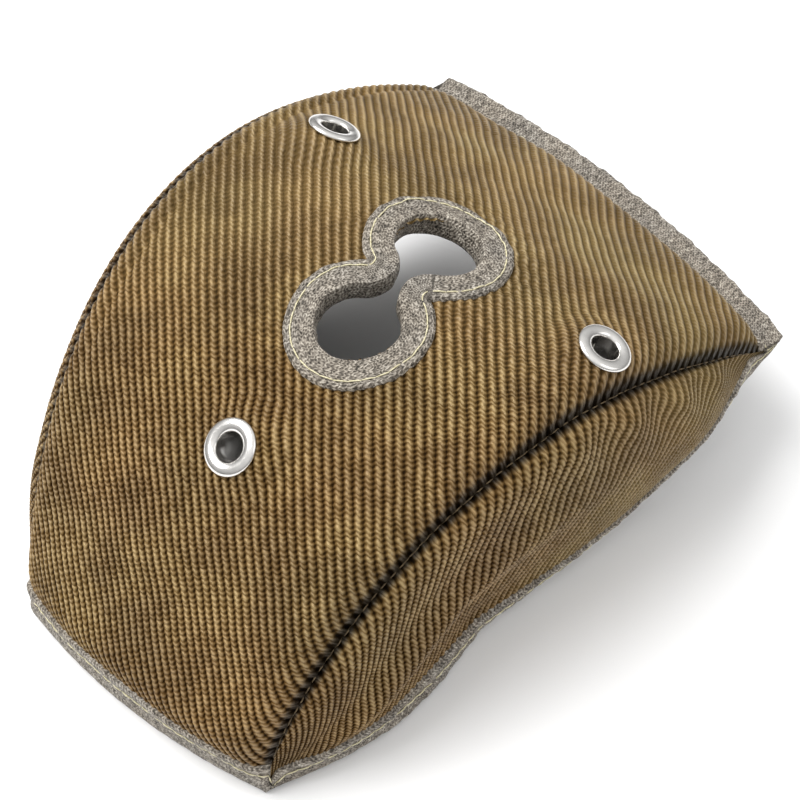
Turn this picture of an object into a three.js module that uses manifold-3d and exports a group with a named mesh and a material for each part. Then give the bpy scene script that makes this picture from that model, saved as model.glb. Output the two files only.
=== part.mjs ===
// Turbo heat blanket: a padded, sewn cover for a turbine housing, lying on its open side.
// Millimetres, +Z up. X runs along the front side, from the low end to the raised end.
// Y runs from the front side to the rear side. The origin is the middle of the footprint.
import * as THREE from 'three';
import { mergeVertices } from 'three/addons/utils/BufferGeometryUtils.js';
import Module from 'manifold-3d';

const wasm = await Module();
wasm.setup();

// Front seam, where the face panel meets the front side panel
const FRONT_REACH = 187;
const FRONT_APEX_AT = 97;
const FRONT_APEX_HEIGHT = 67;
const FRONT_LIP_HEIGHT = 34;
const FRONT_RISE_FULLNESS = 2.4;
const FRONT_RISE_STEEPNESS = 0.7;
const FRONT_FALL_POWER = 1.6;

// Rear seam, where the face panel meets the rear side panel
const REAR_REACH = 206;
const REAR_APEX_AT = 108;
const REAR_APEX_HEIGHT = 83;
const REAR_LIP_HEIGHT = 44;
const REAR_RISE_FULLNESS = 2.2;
const REAR_RISE_STEEPNESS = 0.8;
const REAR_FALL_POWER = 1.8;
const REAR_SET_BACK = 82;
const REAR_SET_LEFT = 15;
const REAR_TURN_DEGREES = 15.4;
const REAR_BOW = 14;

// Open hems of the two side panels: along the floor to the knee, then up to the lip
const FOOT_HEIGHT = 1.5;
const SIDE_TIP = 4;
const LOW_END_BOW = 4.5;
const RAISED_END_BOW = 7;
const BOW_FADE = 40;
const FRONT_KNEE_AT = 118;
const REAR_KNEE_AT = 125;
const KNEE_ROUND = 16;
const FRONT_FLARE = 7;
const FRONT_FLARE_AT = 36;

// Padded fullness of the panels
const SHOULDER_WIDTH = 7;
const FRONT_SHOULDER = 7;
const REAR_SHOULDER = 4;
const FACE_CROWN = 3;
const END_FADE = 16;
const SIDE_SHOULDER = 4;
const LOW_BELLY = 3;
const HIGH_BELLY = 8;
const REAR_BELLY = 4;
const BELLY_FADE = 40;

// Layers of the wall, from the outside in
const SHELL_THICKNESS = 1.2;
const MAT_THICKNESS = 4.5;
const MAT_SEWN_THICKNESS = 1.5;
const MAT_FADE = 14;
const LINING_THICKNESS = 0.8;
const LAYER_GAP = 0.3;
const SEAM_GAP = 0.4;

// Ribs of the woven shell
const RIB_PITCH = 2.45;
const RIB_HEIGHT = 0.5;
const FACE_RIB_DEGREES = 45;
const SIDE_RIB_DEGREES = 55;

// Knitted tape over the cut edges, and its stitching
const TAPE_THICKNESS = 0.8;
const TAPE_GAP = 0.5;
const RIM_TAPE_WIDTH = 10;
const HOLE_TAPE_WIDTH = 7.5;
const HOLE_TAPE_LIFT = 0.2;
const RIM_STITCH_INSET = 6.5;
const HOLE_STITCH_INSET = 5.5;
const THREAD_THICKNESS = 0.7;
const THREAD_GAP = 0.25;

// Hole shaped like a figure eight
const HOLE_ALONG = 133.5;
const HOLE_ACROSS = 55;
const HOLE_TURN_DEGREES = 7;
const LOBE_RADIUS = 11.2;
const LOBE_SPACING = 32;
const NECK_WIDTH = 4.6;

// Eyelets: place on the face, lean away from the face, and size
const EYELET_BORE = 7.6;
const EYELET_FLANGE = 15;
const EYELET_FLANGE_HEIGHT = 1.3;
const EYELET_WALL = 0.6;
const EYELET_LIP = 11.6;
const WASHER_THICKNESS = 0.8;
const WASHER_GAP = 0.9;
const FRONT_EYELET_ALONG = 157.5;
const FRONT_EYELET_ACROSS = 9;
const REAR_EYELET_ALONG = 158;
const REAR_EYELET_ACROSS = 107.5;
const LOW_EYELET_ALONG = 76;
const LOW_EYELET_ACROSS = 49.5;
const EYELETS = [
  { name: 'front', along: FRONT_EYELET_ALONG, across: FRONT_EYELET_ACROSS, axis: [0.285, -0.266, 0.92] },
  { name: 'rear', along: REAR_EYELET_ALONG, across: REAR_EYELET_ACROSS, axis: [0.446, 0.02, 0.888] },
  { name: 'low_end', along: LOW_EYELET_ALONG, across: LOW_EYELET_ACROSS, axis: [-0.6, -0.02, 0.79] },
];

// Colours of the pieces
const SHELL_COLOR = 0x8a6a42;
const MAT_COLOR = 0xd9d2c0;
const LINING_COLOR = 0x7d7a72;
const TAPE_COLOR = 0x96908a;
const THREAD_COLOR = 0xd8cfa4;
const METAL_COLOR = 0xd4d2cc;

// How finely the walls and round pieces are divided
const FACE_ROWS = [0, 0.025, 0.06, 0.13, 0.3, 0.5, 0.7, 0.86, 0.95, 1];
const SIDE_ROWS = [0, 0.08, 0.22, 0.55, 0.9, 1];
const WALL_COLUMNS = 16;
const TAPE_COLUMNS = 2;
const ROUND_STEPS = 16;
const LOBE_STEPS = 10;
const FILLET_STEPS = 4;
const SLOPE_STEP = 0.004;
const NARROWEST_BORDER = 0.15;
const NARROWEST_STITCH = 0.4;
const RIB_CLEARANCE = 0.15;
const CUT_REACH = 5;
const WELD_DISTANCE = 1e-4;

const { clamp, degToRad, lerp } = THREE.MathUtils;
const vector = (x, y, z) => new THREE.Vector3(x, y, z);

// Eases from 0 at distance 0 to 1 at the given reach
function ease(distance, reach) {
  return THREE.MathUtils.smoothstep(distance, 0, reach);
}

// Quarter-round profile from 0 at the seam to 1 at the given width
function roll(distance, width) {
  const left = 1 - clamp(distance / width, 0, 1);
  return Math.sqrt(1 - left * left);
}

// A seam seen from the front: it climbs from its foot to an apex and falls to its lip
class SeamCurve extends THREE.Curve {
  constructor(shape) {
    super();
    this.shape = shape;
  }

  getPoint(u, target = new THREE.Vector3()) {
    const s = this.shape;
    if (u < 0.5) {
      const k = 1 - Math.cos(u * Math.PI);
      const full = 1 - Math.pow(1 - k, s.fullness);
      const height = lerp(FOOT_HEIGHT, s.apexHeight, Math.pow(full, s.steepness));
      return target.set(s.apexAt * k, 0, height);
    }
    const k = 2 * u - 1;
    const drop = (s.apexHeight - s.lipHeight) * Math.pow(k, s.fallPower);
    return target.set(lerp(s.apexAt, s.reach, k), 0, s.apexHeight - drop);
  }
}

// A hem seen from the front: along the floor to its knee, then straight up to the lip
function hemCurve(kneeAt, reach, lipHeight) {
  const start = vector(SIDE_TIP, 0, FOOT_HEIGHT);
  const knee = vector(kneeAt, 0, FOOT_HEIGHT);
  const lip = vector(reach, 0, lipHeight);
  const end = lip.clone().add(knee.clone().sub(lip).setLength(SIDE_TIP));
  const beforeKnee = knee.clone().add(start.clone().sub(knee).setLength(KNEE_ROUND));
  const afterKnee = knee.clone().add(end.clone().sub(knee).setLength(KNEE_ROUND));
  const path = new THREE.CurvePath();
  path.add(new THREE.LineCurve3(start, beforeKnee));
  path.add(new THREE.QuadraticBezierCurve3(beforeKnee, knee, afterKnee));
  path.add(new THREE.LineCurve3(afterKnee, end));
  return path;
}

const frontSeamCurve = new SeamCurve({
  reach: FRONT_REACH,
  apexAt: FRONT_APEX_AT,
  apexHeight: FRONT_APEX_HEIGHT,
  lipHeight: FRONT_LIP_HEIGHT,
  fullness: FRONT_RISE_FULLNESS,
  steepness: FRONT_RISE_STEEPNESS,
  fallPower: FRONT_FALL_POWER,
});
const rearSeamCurve = new SeamCurve({
  reach: REAR_REACH,
  apexAt: REAR_APEX_AT,
  apexHeight: REAR_APEX_HEIGHT,
  lipHeight: REAR_LIP_HEIGHT,
  fullness: REAR_RISE_FULLNESS,
  steepness: REAR_RISE_STEEPNESS,
  fallPower: REAR_FALL_POWER,
});
const frontHemCurve = hemCurve(FRONT_KNEE_AT, FRONT_REACH, FRONT_LIP_HEIGHT);
const rearHemCurve = hemCurve(REAR_KNEE_AT, REAR_REACH, REAR_LIP_HEIGHT);
const frontLength = frontSeamCurve.getLength();
const rearLength = rearSeamCurve.getLength();
const faceLength = (frontLength + rearLength) / 2;

// Turns a point of a rear curve, drawn from the front, into its place behind the object
function placeRear(point) {
  const turn = degToRad(REAR_TURN_DEGREES);
  const share = clamp(point.x / REAR_REACH, 0, 1);
  const bow = REAR_BOW * Math.sin(Math.PI * Math.pow(share, 0.7));
  return vector(
    point.x * Math.cos(turn) - bow * Math.sin(turn) - REAR_SET_LEFT,
    point.x * Math.sin(turn) + bow * Math.cos(turn) + REAR_SET_BACK,
    point.z,
  );
}

function frontSeam(t) {
  return frontSeamCurve.getPointAt(clamp(t, 0, 1));
}

function rearSeam(t) {
  return placeRear(rearSeamCurve.getPointAt(clamp(t, 0, 1)));
}

function frontHem(t) {
  const point = frontHemCurve.getPointAt(clamp(t, 0, 1));
  point.y -= FRONT_FLARE * Math.sin(Math.PI * clamp(point.x / (2 * FRONT_FLARE_AT), 0, 1));
  return point;
}

function rearHem(t) {
  return placeRear(rearHemCurve.getPointAt(clamp(t, 0, 1)));
}

// A panel is ruled between two border lines: t runs along both, w from the first to the second
function makePanel(first, second, length) {
  const base = (t, w) => first(t).lerp(second(t), w);
  const span = (t) => first(t).distanceTo(second(t));
  return { base, span, length };
}

const face = makePanel(frontSeam, rearSeam, faceLength);
const frontSide = makePanel(frontSeam, frontHem, frontLength);
const rearSide = makePanel(rearSeam, rearHem, rearLength);
const faceWidth = face.span(0.5);

// The two open ends of the face bow outward between their corners
const ruledFace = face.base;
face.base = (t, w) => {
  const swell = 4 * w * (1 - w);
  const low = LOW_END_BOW * swell * (1 - ease(t * faceLength, BOW_FADE));
  const raised = RAISED_END_BOW * swell * (1 - ease((1 - t) * faceLength, BOW_FADE));
  const point = ruledFace(t, w);
  point.x += raised - low;
  return point;
};

// Outward normals: the face by its slope, the side panels upright
function heading(curve, t) {
  return curve(Math.min(t + SLOPE_STEP, 1)).sub(curve(Math.max(t - SLOPE_STEP, 0))).normalize();
}
face.normal = (t, w) => {
  const across = ruledFace(t, 1).sub(ruledFace(t, 0));
  return heading((place) => face.base(place, w), t).cross(across).normalize();
};
frontSide.normal = () => vector(0, -1, 0);
rearSide.normal = (t) => {
  const ahead = heading(rearHem, t);
  return vector(-ahead.y, ahead.x, 0).normalize();
};

// Direction from the outside in along a seam, shared by the two panels that meet there
function mitre(side, t) {
  const seamOfFace = side === frontSide ? 0 : 1;
  return face.normal(t, seamOfFace).add(side.normal(t)).normalize().negate();
}

// How far each padded panel stands out from its ruled form
face.lift = (t, w) => {
  const span = face.span(t);
  const fade = ease(t * faceLength, END_FADE) * lerp(1, ease((1 - t) * faceLength, END_FADE), 0.7);
  const front = FRONT_SHOULDER * roll(w * span, SHOULDER_WIDTH) * (1 - w);
  const rear = REAR_SHOULDER * roll((1 - w) * span, SHOULDER_WIDTH) * w;
  return fade * (front + rear + FACE_CROWN * 4 * w * (1 - w));
};

function sideLift(side, belly) {
  return (t, w) => {
    const span = side.span(t);
    const full = ease(span - SIDE_TIP, BELLY_FADE);
    const shoulder = SIDE_SHOULDER * roll(w * span, SHOULDER_WIDTH) * (1 - w);
    return full * (shoulder + belly(t) * Math.pow(Math.sin(Math.PI * w), 0.75));
  };
}

frontSide.lift = sideLift(frontSide, (t) => lerp(LOW_BELLY, HIGH_BELLY, ease(t - 0.3, 0.4)));
rearSide.lift = sideLift(rearSide, () => REAR_BELLY);

// Direction from the outside in: the mitre at a seam, the panel's own normal away from it
face.inward = (t, w) => {
  const span = face.span(t);
  const own = face.normal(t, w).negate();
  const nearFront = 1 - ease(w * span, 2 * SHOULDER_WIDTH);
  const nearRear = 1 - ease((1 - w) * span, 2 * SHOULDER_WIDTH);
  own.lerp(mitre(frontSide, t), nearFront);
  return own.lerp(mitre(rearSide, t), nearRear).normalize();
};

for (const side of [frontSide, rearSide]) {
  side.inward = (t, w) => {
    const nearSeam = 1 - ease(w * side.span(t), 2 * SHOULDER_WIDTH);
    return side.normal(t).negate().lerp(mitre(side, t), nearSeam).normalize();
  };
}

// Places on the face are stated in millimetres along it and across it from its front seam
function facePlace(along, across) {
  const t = along / faceLength;
  return { t, w: across / face.span(t) };
}

const holeCentre = facePlace(HOLE_ALONG, HOLE_ACROSS);

// Radius of the two small arcs that join the lobes, and how far their centres stand out
const lobeHalf = LOBE_SPACING / 2;
const neckHalf = NECK_WIDTH / 2;
const filletRadius = (lobeHalf ** 2 + neckHalf ** 2 - LOBE_RADIUS ** 2) / (2 * (LOBE_RADIUS - neckHalf));
const filletCentre = filletRadius + neckHalf;

// Thickness of the mat: thin where the wall is sewn, full elsewhere
for (const panel of [face, frontSide, rearSide]) {
  panel.mat = (t, w) => {
    const span = panel.span(t);
    const edge = Math.min(w * span, (1 - w) * span, t * panel.length, (1 - t) * panel.length);
    return lerp(MAT_SEWN_THICKNESS, MAT_THICKNESS, ease(edge, MAT_FADE));
  };
}

// A point of a wall: depth is fixed millimetres plus a share of the mat's local thickness
function wallPoint(panel, t, w, [fixed, share]) {
  const depth = fixed + share * panel.mat(t, w);
  const surface = panel.base(t, w).addScaledVector(panel.normal(t, w), panel.lift(t, w));
  return surface.addScaledVector(panel.inward(t, w), depth);
}

// Depths of the layers' faces
const shellOuter = [0, 0];
const shellInner = [SHELL_THICKNESS, 0];
const matOuter = [SHELL_THICKNESS + LAYER_GAP, 0];
const matInner = [matOuter[0], 1];
const liningOuter = [matOuter[0] + LAYER_GAP, 1];
const liningInner = [liningOuter[0] + LINING_THICKNESS, 1];
const outerTapeBack = [-TAPE_GAP, 0];
const outerTapeFront = [-TAPE_GAP - TAPE_THICKNESS, 0];
const innerTapeBack = [liningInner[0] + TAPE_GAP, 1];
const innerTapeFront = [innerTapeBack[0] + TAPE_THICKNESS, 1];

// Each eyelet stands on the wall's highest point under its flange, and its washer on the lowest
const seats = EYELETS.map(({ name, along, across, axis }) => {
  const { t, w } = facePlace(along, across);
  const direction = vector(...axis).normalize();
  const centre = wallPoint(face, t, w, shellOuter);
  let top = -Infinity;
  let bottom = Infinity;
  const rim = EYELET_FLANGE / 2;
  for (let i = 0; i < ROUND_STEPS; i += 1) {
    const angle = 2 * Math.PI * i / ROUND_STEPS;
    const [dt, dw] = [rim * Math.cos(angle) / faceLength, rim * Math.sin(angle) / face.span(t)];
    top = Math.max(top, wallPoint(face, t + dt, w + dw, shellOuter).sub(centre).dot(direction));
    bottom = Math.min(bottom, wallPoint(face, t + dt, w + dw, liningInner).sub(centre).dot(direction));
  }
  return { name, axis: direction, centre, top: Math.max(top, 0), bottom };
});

// A closed solid from a list of points and triangles, turned inside out if need be
function solidFrom(points, triangles) {
  let volume = 0;
  for (const [a, b, c] of triangles) {
    volume += points[a].dot(points[b].clone().cross(points[c]));
  }
  const ordered = volume > 0 ? triangles : triangles.map(([a, b, c]) => [a, c, b]);
  const vertProperties = new Float32Array(points.flatMap((point) => point.toArray()));
  const triVerts = new Uint32Array(ordered.flat());
  return new wasm.Manifold(new wasm.Mesh({ numProp: 3, vertProperties, triVerts }));
}

// Columns of a wall's grid: the two ends, the tape's stitch line and border, and even steps between
function gridColumns(length) {
  const border = RIM_TAPE_WIDTH / length;
  const stitch = RIM_STITCH_INSET / length;
  const columns = [0, stitch];
  for (let i = 0; i <= WALL_COLUMNS; i += 1) {
    columns.push(lerp(border, 1 - border, i / WALL_COLUMNS));
  }
  return [...columns, 1 - stitch, 1];
}

// Rows of a wall's grid at one column. Side panels end with the tape's border, stitch line and hem.
function gridRows(panel, t) {
  const span = panel.span(t);
  const gap = SEAM_GAP / 2 / span;
  if (panel === face) {
    return FACE_ROWS.map((share) => lerp(gap, 1 - gap, share));
  }
  const border = Math.max(1 - RIM_TAPE_WIDTH / span, NARROWEST_BORDER);
  const stitch = Math.max(1 - RIM_STITCH_INSET / span, NARROWEST_STITCH);
  return [...SIDE_ROWS.map((share) => lerp(gap, border, share)), stitch, 1];
}

// The grid all layers of a wall share, so that they lie parallel; a node is the wall at one place
function makeGrid(panel) {
  const columns = gridColumns(panel.length);
  return columns.map((t) => gridRows(panel, t).map((w) => ({
    t,
    surface: wallPoint(panel, t, w, shellOuter),
    inward: panel.inward(t, w),
    mat: panel.mat(t, w),
  })));
}

// The point of a node at a depth
function nodePoint(node, [fixed, share]) {
  return node.surface.clone().addScaledVector(node.inward, fixed + share * node.mat);
}

for (const panel of [face, frontSide, rearSide]) {
  panel.grid = makeGrid(panel);
}

// Joins two rows of vertices whose keys rise with triangles between them. Flipped gives the same
// triangles facing the other way, so that the two sides of neighbouring layers stay parallel.
function joinRows(low, high, triangles, flipped = false) {
  const push = (a, b, c) => triangles.push(flipped ? [a, c, b] : [a, b, c]);
  let i = 0;
  let j = 0;
  while (i < low.length - 1 || j < high.length - 1) {
    const lowNext = i < low.length - 1 ? low[i + 1].key : Infinity;
    const highNext = j < high.length - 1 ? high[j + 1].key : Infinity;
    if (lowNext <= highNext) {
      push(low[i].index, low[i + 1].index, high[j].index);
      i += 1;
    } else {
      push(low[i].index, high[j + 1].index, high[j].index);
      j += 1;
    }
  }
}

// One layer of a wall between two depths, on the wall's grid
function plainLayer(panel, outer, inner) {
  const { points, triangles, outerRows, innerRows } = startLayer(panel, outer, inner);
  for (let i = 0; i < outerRows.length - 1; i += 1) {
    joinRows(outerRows[i], outerRows[i + 1], triangles);
  }
  closeLayer(outerRows, innerRows, triangles);
  return solidFrom(points, triangles);
}

// Lays the grid's vertices at two depths
function startLayer(panel, outer, inner) {
  const points = [];
  const rowCount = panel.grid[0].length;
  const lay = (depth) => Array.from({ length: rowCount }, (_, row) => panel.grid.map((column, key) => {
    points.push(nodePoint(column[row], depth));
    return { key, index: points.length - 1 };
  }));
  return { points, triangles: [], outerRows: lay(outer), innerRows: lay(inner) };
}

// Adds the inner surface and the four borders
function closeLayer(outerRows, innerRows, triangles) {
  const last = outerRows.length - 1;
  for (let i = 0; i < last; i += 1) {
    joinRows(innerRows[i], innerRows[i + 1], triangles, true);
    const [a, b] = [outerRows[i], outerRows[i + 1]];
    const [c, d] = [innerRows[i], innerRows[i + 1]];
    triangles.push([a[0].index, b[0].index, c[0].index], [b[0].index, d[0].index, c[0].index]);
    const [ae, be, ce, de] = [a.at(-1).index, b.at(-1).index, c.at(-1).index, d.at(-1).index];
    triangles.push([ae, ce, be], [be, ce, de]);
  }
  joinRows(innerRows[0], outerRows[0], triangles);
  joinRows(outerRows[last], innerRows[last], triangles);
}

// The woven outer layer: ribs run slantwise between the tapes and stop where a tape begins
function ribbedLayer(panel, outer, inner) {
  const { points, triangles, outerRows, innerRows } = startLayer(panel, outer, inner);
  const isFace = panel === face;
  const angle = degToRad(isFace ? FACE_RIB_DEGREES : SIDE_RIB_DEGREES);
  const across = isFace ? -faceWidth : panel.span(0.5);
  const shares = isFace ? FACE_ROWS : SIDE_ROWS;
  const first = TAPE_COLUMNS;
  const end = panel.grid.length - 1 - TAPE_COLUMNS;
  const columnStep = panel.grid[first + 1][0].t - panel.grid[first][0].t;
  const perColumn = panel.length * columnStep * Math.sin(angle) / RIB_PITCH;
  const isBorder = (row) => !isFace && row === shares.length - 1;
  const ribbed = shares.map((share, row) => {
    const start = share * across * Math.cos(angle) / RIB_PITCH;
    const finish = start + (end - first) * perColumn;
    const line = [{ key: start, column: first, index: outerRows[row][first].index }];
    for (let half = Math.ceil(2 * (start + RIB_CLEARANCE)); half < 2 * (finish - RIB_CLEARANCE); half += 1) {
      const column = first + (half / 2 - start) / perColumn;
      const sunk = half % 2 === 0 || isBorder(row) ? 0 : RIB_HEIGHT;
      const before = Math.floor(column);
      const [a, b] = [panel.grid[before][row], panel.grid[before + 1][row]];
      const depth = [outer[0] + sunk, outer[1]];
      points.push(nodePoint(a, depth).lerp(nodePoint(b, depth), column - before));
      line.push({ key: half / 2, column, index: points.length - 1 });
    }
    line.push({ key: finish, column: end, index: outerRows[row][end].index });
    return line;
  });
  const byColumn = (line) => line.map(({ column, index }) => ({ key: column, index }));
  const borderRow = (row) => {
    const plain = outerRows[row];
    return [...plain.slice(0, first), ...byColumn(ribbed[row]), ...plain.slice(end + 1)];
  };
  for (let row = 0; row < shares.length - 1; row += 1) {
    joinRows(outerRows[row].slice(0, first + 1), outerRows[row + 1].slice(0, first + 1), triangles);
    joinRows(ribbed[row], ribbed[row + 1], triangles);
    joinRows(outerRows[row].slice(end), outerRows[row + 1].slice(end), triangles);
  }
  const last = shares.length - 1;
  for (let row = last; row < outerRows.length - 1; row += 1) {
    joinRows(row === last ? borderRow(row) : outerRows[row], outerRows[row + 1], triangles);
  }
  outerRows[0] = borderRow(0);
  if (isFace) {
    outerRows[last] = borderRow(last);
  }
  closeLayer(outerRows, innerRows, triangles);
  return solidFrom(points, triangles);
}

// A ring whose cross-section is given at each station, closed on itself. otherWay says which of its
// quads are split along their other diagonal, to lie parallel to the wall they cover.
function ringFrom(sections, otherWay = () => false) {
  const count = sections[0].length;
  const points = sections.flat();
  const triangles = [];
  sections.forEach((_, i) => {
    const here = i * count;
    const next = ((i + 1) % sections.length) * count;
    for (let j = 0; j < count; j += 1) {
      const k = (j + 1) % count;
      const [a, b, c, d] = [here + j, next + j, next + k, here + k];
      triangles.push(...(otherWay(i, j) ? [[a, b, d], [b, c, d]] : [[a, b, c], [a, c, d]]));
    }
  });
  return solidFrom(points, triangles);
}

// A taped edge is described by stations: places of the edge, the stitch line and the tape's border,
// and the direction out over the edge. at gives the wall's point of a place at a depth.
function rimStations() {
  const at = nodePoint;
  const stations = [];
  const last = face.grid.length - 1;
  const faceEnd = (edge, step, forward) => face.grid[edge].map((node, row) => ({
    at,
    edge: node,
    stitch: face.grid[edge + step][row],
    border: face.grid[edge + TAPE_COLUMNS * step][row],
    out: heading((place) => face.base(place, FACE_ROWS[row]), edge / last).multiplyScalar(forward),
  }));
  const hem = (side, curve) => side.grid.map((column) => {
    const [border, stitch, edge] = column.slice(-3);
    const out = side.normal(edge.t).cross(heading(curve, edge.t));
    return { at, edge, stitch, border, out: out.z < 0 ? out : out.negate() };
  });
  stations.push(...faceEnd(0, 1, -1).reverse());
  stations.push(...hem(frontSide, frontHem));
  stations.push(...faceEnd(last, -1, 1));
  stations.push(...hem(rearSide, rearHem).reverse());
  return stations;
}

// Cross-section of the folded tape at a station: outer leg, nose round the edge, inner leg. The
// side that lies on the lining starts at the ninth point.
const INNER_BACK = 8;
function tapeSection({ at, edge, stitch, border, out }) {
  const beyond = (depth, distance) => at(edge, depth).addScaledVector(out, distance);
  const nose = TAPE_GAP + TAPE_THICKNESS;
  return [
    at(border, outerTapeFront),
    at(stitch, outerTapeFront),
    beyond(outerTapeFront, 0),
    beyond([shellInner[0] / 2, 0], nose),
    beyond([liningOuter[0], 1], nose),
    beyond(innerTapeFront, 0),
    at(stitch, innerTapeFront),
    at(border, innerTapeFront),
    at(border, innerTapeBack),
    at(stitch, innerTapeBack),
    beyond(innerTapeBack, TAPE_GAP),
    beyond(outerTapeBack, TAPE_GAP),
    at(stitch, outerTapeBack),
    at(border, outerTapeBack),
  ];
}

// Cross-section of the thread that lies on the tape's outer leg
function threadSection({ at, edge, stitch, border }) {
  const half = THREAD_THICKNESS / 2;
  const low = [outerTapeFront[0] - THREAD_GAP, 0];
  const high = [low[0] - THREAD_THICKNESS, 0];
  const ahead = at(edge, low).sub(at(border, low)).normalize();
  const corners = [[-half, low], [half, low], [half, high], [-half, high]];
  return corners.map(([shift, depth]) => at(stitch, depth).addScaledVector(ahead, shift));
}

// Stations round the figure-eight hole; grow moves the edge outward from the visible opening
function holeStations(grow) {
  const stations = [];
  const meet = Math.atan2(filletCentre, lobeHalf);
  const addStation = (x, y, outX, outY) => {
    const signX = Math.sign(x) || 1;
    const room = outX * signX < 0 ? Math.abs(x) / Math.abs(outX) : Infinity;
    const reach = Math.min(HOLE_TAPE_WIDTH, room);
    const place = (distance) => {
      const spot = new THREE.Vector2(x + outX * distance, y + outY * distance);
      spot.rotateAround(new THREE.Vector2(), degToRad(HOLE_TURN_DEGREES));
      return [holeCentre.t + spot.x / faceLength, holeCentre.w + spot.y / faceWidth];
    };
    const edge = place(Math.min(grow, reach));
    const border = place(reach);
    const stitch = place(lerp(Math.min(grow, reach), reach, HOLE_STITCH_INSET / HOLE_TAPE_WIDTH));
    const at = ([t, w], [fixed, share]) => {
      const lift = share > 0 ? HOLE_TAPE_LIFT : -HOLE_TAPE_LIFT;
      return wallPoint(face, t, w, [fixed + lift, share]);
    };
    const out = at(edge, shellOuter).sub(at(border, shellOuter)).normalize();
    stations.push({ at, edge, stitch, border, out });
  };
  const lobe = (side, from, to) => {
    for (let i = 0; i <= LOBE_STEPS; i += 1) {
      const angle = lerp(from, to, i / LOBE_STEPS);
      const [c, s] = [Math.cos(angle), Math.sin(angle)];
      addStation(side * lobeHalf + c * LOBE_RADIUS, s * LOBE_RADIUS, c, s);
    }
  };
  const fillet = (side, from, to) => {
    for (let i = 1; i < FILLET_STEPS; i += 1) {
      const angle = lerp(from, to, i / FILLET_STEPS);
      const [c, s] = [Math.cos(angle), Math.sin(angle)];
      addStation(c * filletRadius, side * filletCentre + s * filletRadius, -c, -s);
    }
  };
  lobe(1, meet - Math.PI, Math.PI - meet);
  fillet(1, -meet, meet - Math.PI);
  lobe(-1, meet, 2 * Math.PI - meet);
  fillet(-1, Math.PI - meet, meet);
  return stations;
}

// Prism through the whole wall, with the outline of the hole grown by a distance
function holeCutter(grow) {
  const stations = holeStations(grow);
  const outline = stations.map(({ edge }) => new THREE.Vector2(edge[0] * faceLength, edge[1] * faceWidth));
  const caps = THREE.ShapeUtils.triangulateShape(outline, []);
  const count = stations.length;
  const above = stations.map(({ edge }) => wallPoint(face, ...edge, [-CUT_REACH, 0]));
  const below = stations.map(({ edge }) => wallPoint(face, ...edge, [innerTapeFront[0] + CUT_REACH, 1]));
  const triangles = caps.map(([a, b, c]) => [a, b, c]);
  caps.forEach(([a, b, c]) => triangles.push([count + a, count + c, count + b]));
  const winding = THREE.ShapeUtils.isClockWise(outline) ? -1 : 1;
  for (let i = 0; i < count; i += 1) {
    const j = (i + 1) % count;
    const walls = [[i, count + i, count + j], [i, count + j, j]];
    walls.forEach(([a, b, c]) => triangles.push(winding > 0 ? [a, b, c] : [a, c, b]));
  }
  return solidFrom([...above, ...below], triangles);
}

// A turned solid: profile points are radius and height, closed on themselves
function turned(profile, seat) {
  const closed = [...profile, profile[0]].map(([radius, height]) => new THREE.Vector2(radius, height));
  const geometry = new THREE.LatheGeometry(closed, ROUND_STEPS);
  geometry.rotateX(Math.PI / 2);
  return placedSolid(geometry, seat);
}

// A geometry drawn about the Z axis, set on an eyelet's seat as a solid
function placedSolid(geometry, seat) {
  const turn = new THREE.Quaternion().setFromUnitVectors(vector(0, 0, 1), seat.axis);
  geometry.applyQuaternion(turn);
  geometry.translate(...seat.centre.toArray());
  geometry.deleteAttribute('normal');
  geometry.deleteAttribute('uv');
  const merged = mergeVertices(geometry, WELD_DISTANCE);
  const position = merged.getAttribute('position');
  const pointOf = (_, i) => new THREE.Vector3().fromBufferAttribute(position, i);
  const points = Array.from({ length: position.count }, pointOf);
  const triangles = [];
  for (let i = 0; i < merged.index.count; i += 3) {
    const triangle = [merged.index.getX(i), merged.index.getX(i + 1), merged.index.getX(i + 2)];
    if (new Set(triangle).size === 3) {
      triangles.push(triangle);
    }
  }
  return solidFrom(points, triangles);
}

const boreRadius = EYELET_BORE / 2;
const barrelRadius = boreRadius + EYELET_WALL;

// Flanged eyelet: rounded flange on the face, barrel through the wall, lip rolled over the washer
function eyelet(seat) {
  const rim = EYELET_FLANGE / 2;
  const under = seat.top + LAYER_GAP;
  const top = under + EYELET_FLANGE_HEIGHT;
  const lip = EYELET_LIP / 2;
  const lipFront = seat.bottom - WASHER_GAP - WASHER_THICKNESS - LAYER_GAP;
  const round = EYELET_WALL;
  return turned([
    [boreRadius, lipFront - EYELET_WALL],
    [lip, lipFront - EYELET_WALL],
    [lip, lipFront],
    [barrelRadius, lipFront],
    [barrelRadius, under],
    [rim - round / 2, under],
    [rim, under + round / 2],
    [rim - round, top - round / 3],
    [rim - 2 * round, top],
    [barrelRadius + round, top],
    [boreRadius + round / 3, top - round],
    [boreRadius, top - 2 * round],
  ], seat);
}

// Flat washer behind the lining
function washer(seat) {
  const inside = barrelRadius + LAYER_GAP;
  const outside = EYELET_FLANGE / 2;
  const washerFront = seat.bottom - WASHER_GAP;
  const washerBack = washerFront - WASHER_THICKNESS;
  return turned([
    [inside, washerBack],
    [outside, washerBack],
    [outside, washerFront],
    [inside, washerFront],
  ], seat);
}

// Round cut through the wall for an eyelet's barrel
function barrelCutter(seat) {
  const length = 2 * (CUT_REACH - seat.bottom);
  const radius = barrelRadius + LAYER_GAP;
  const geometry = new THREE.CylinderGeometry(radius, radius, length, ROUND_STEPS);
  geometry.rotateX(Math.PI / 2);
  return placedSolid(geometry, seat);
}

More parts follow.
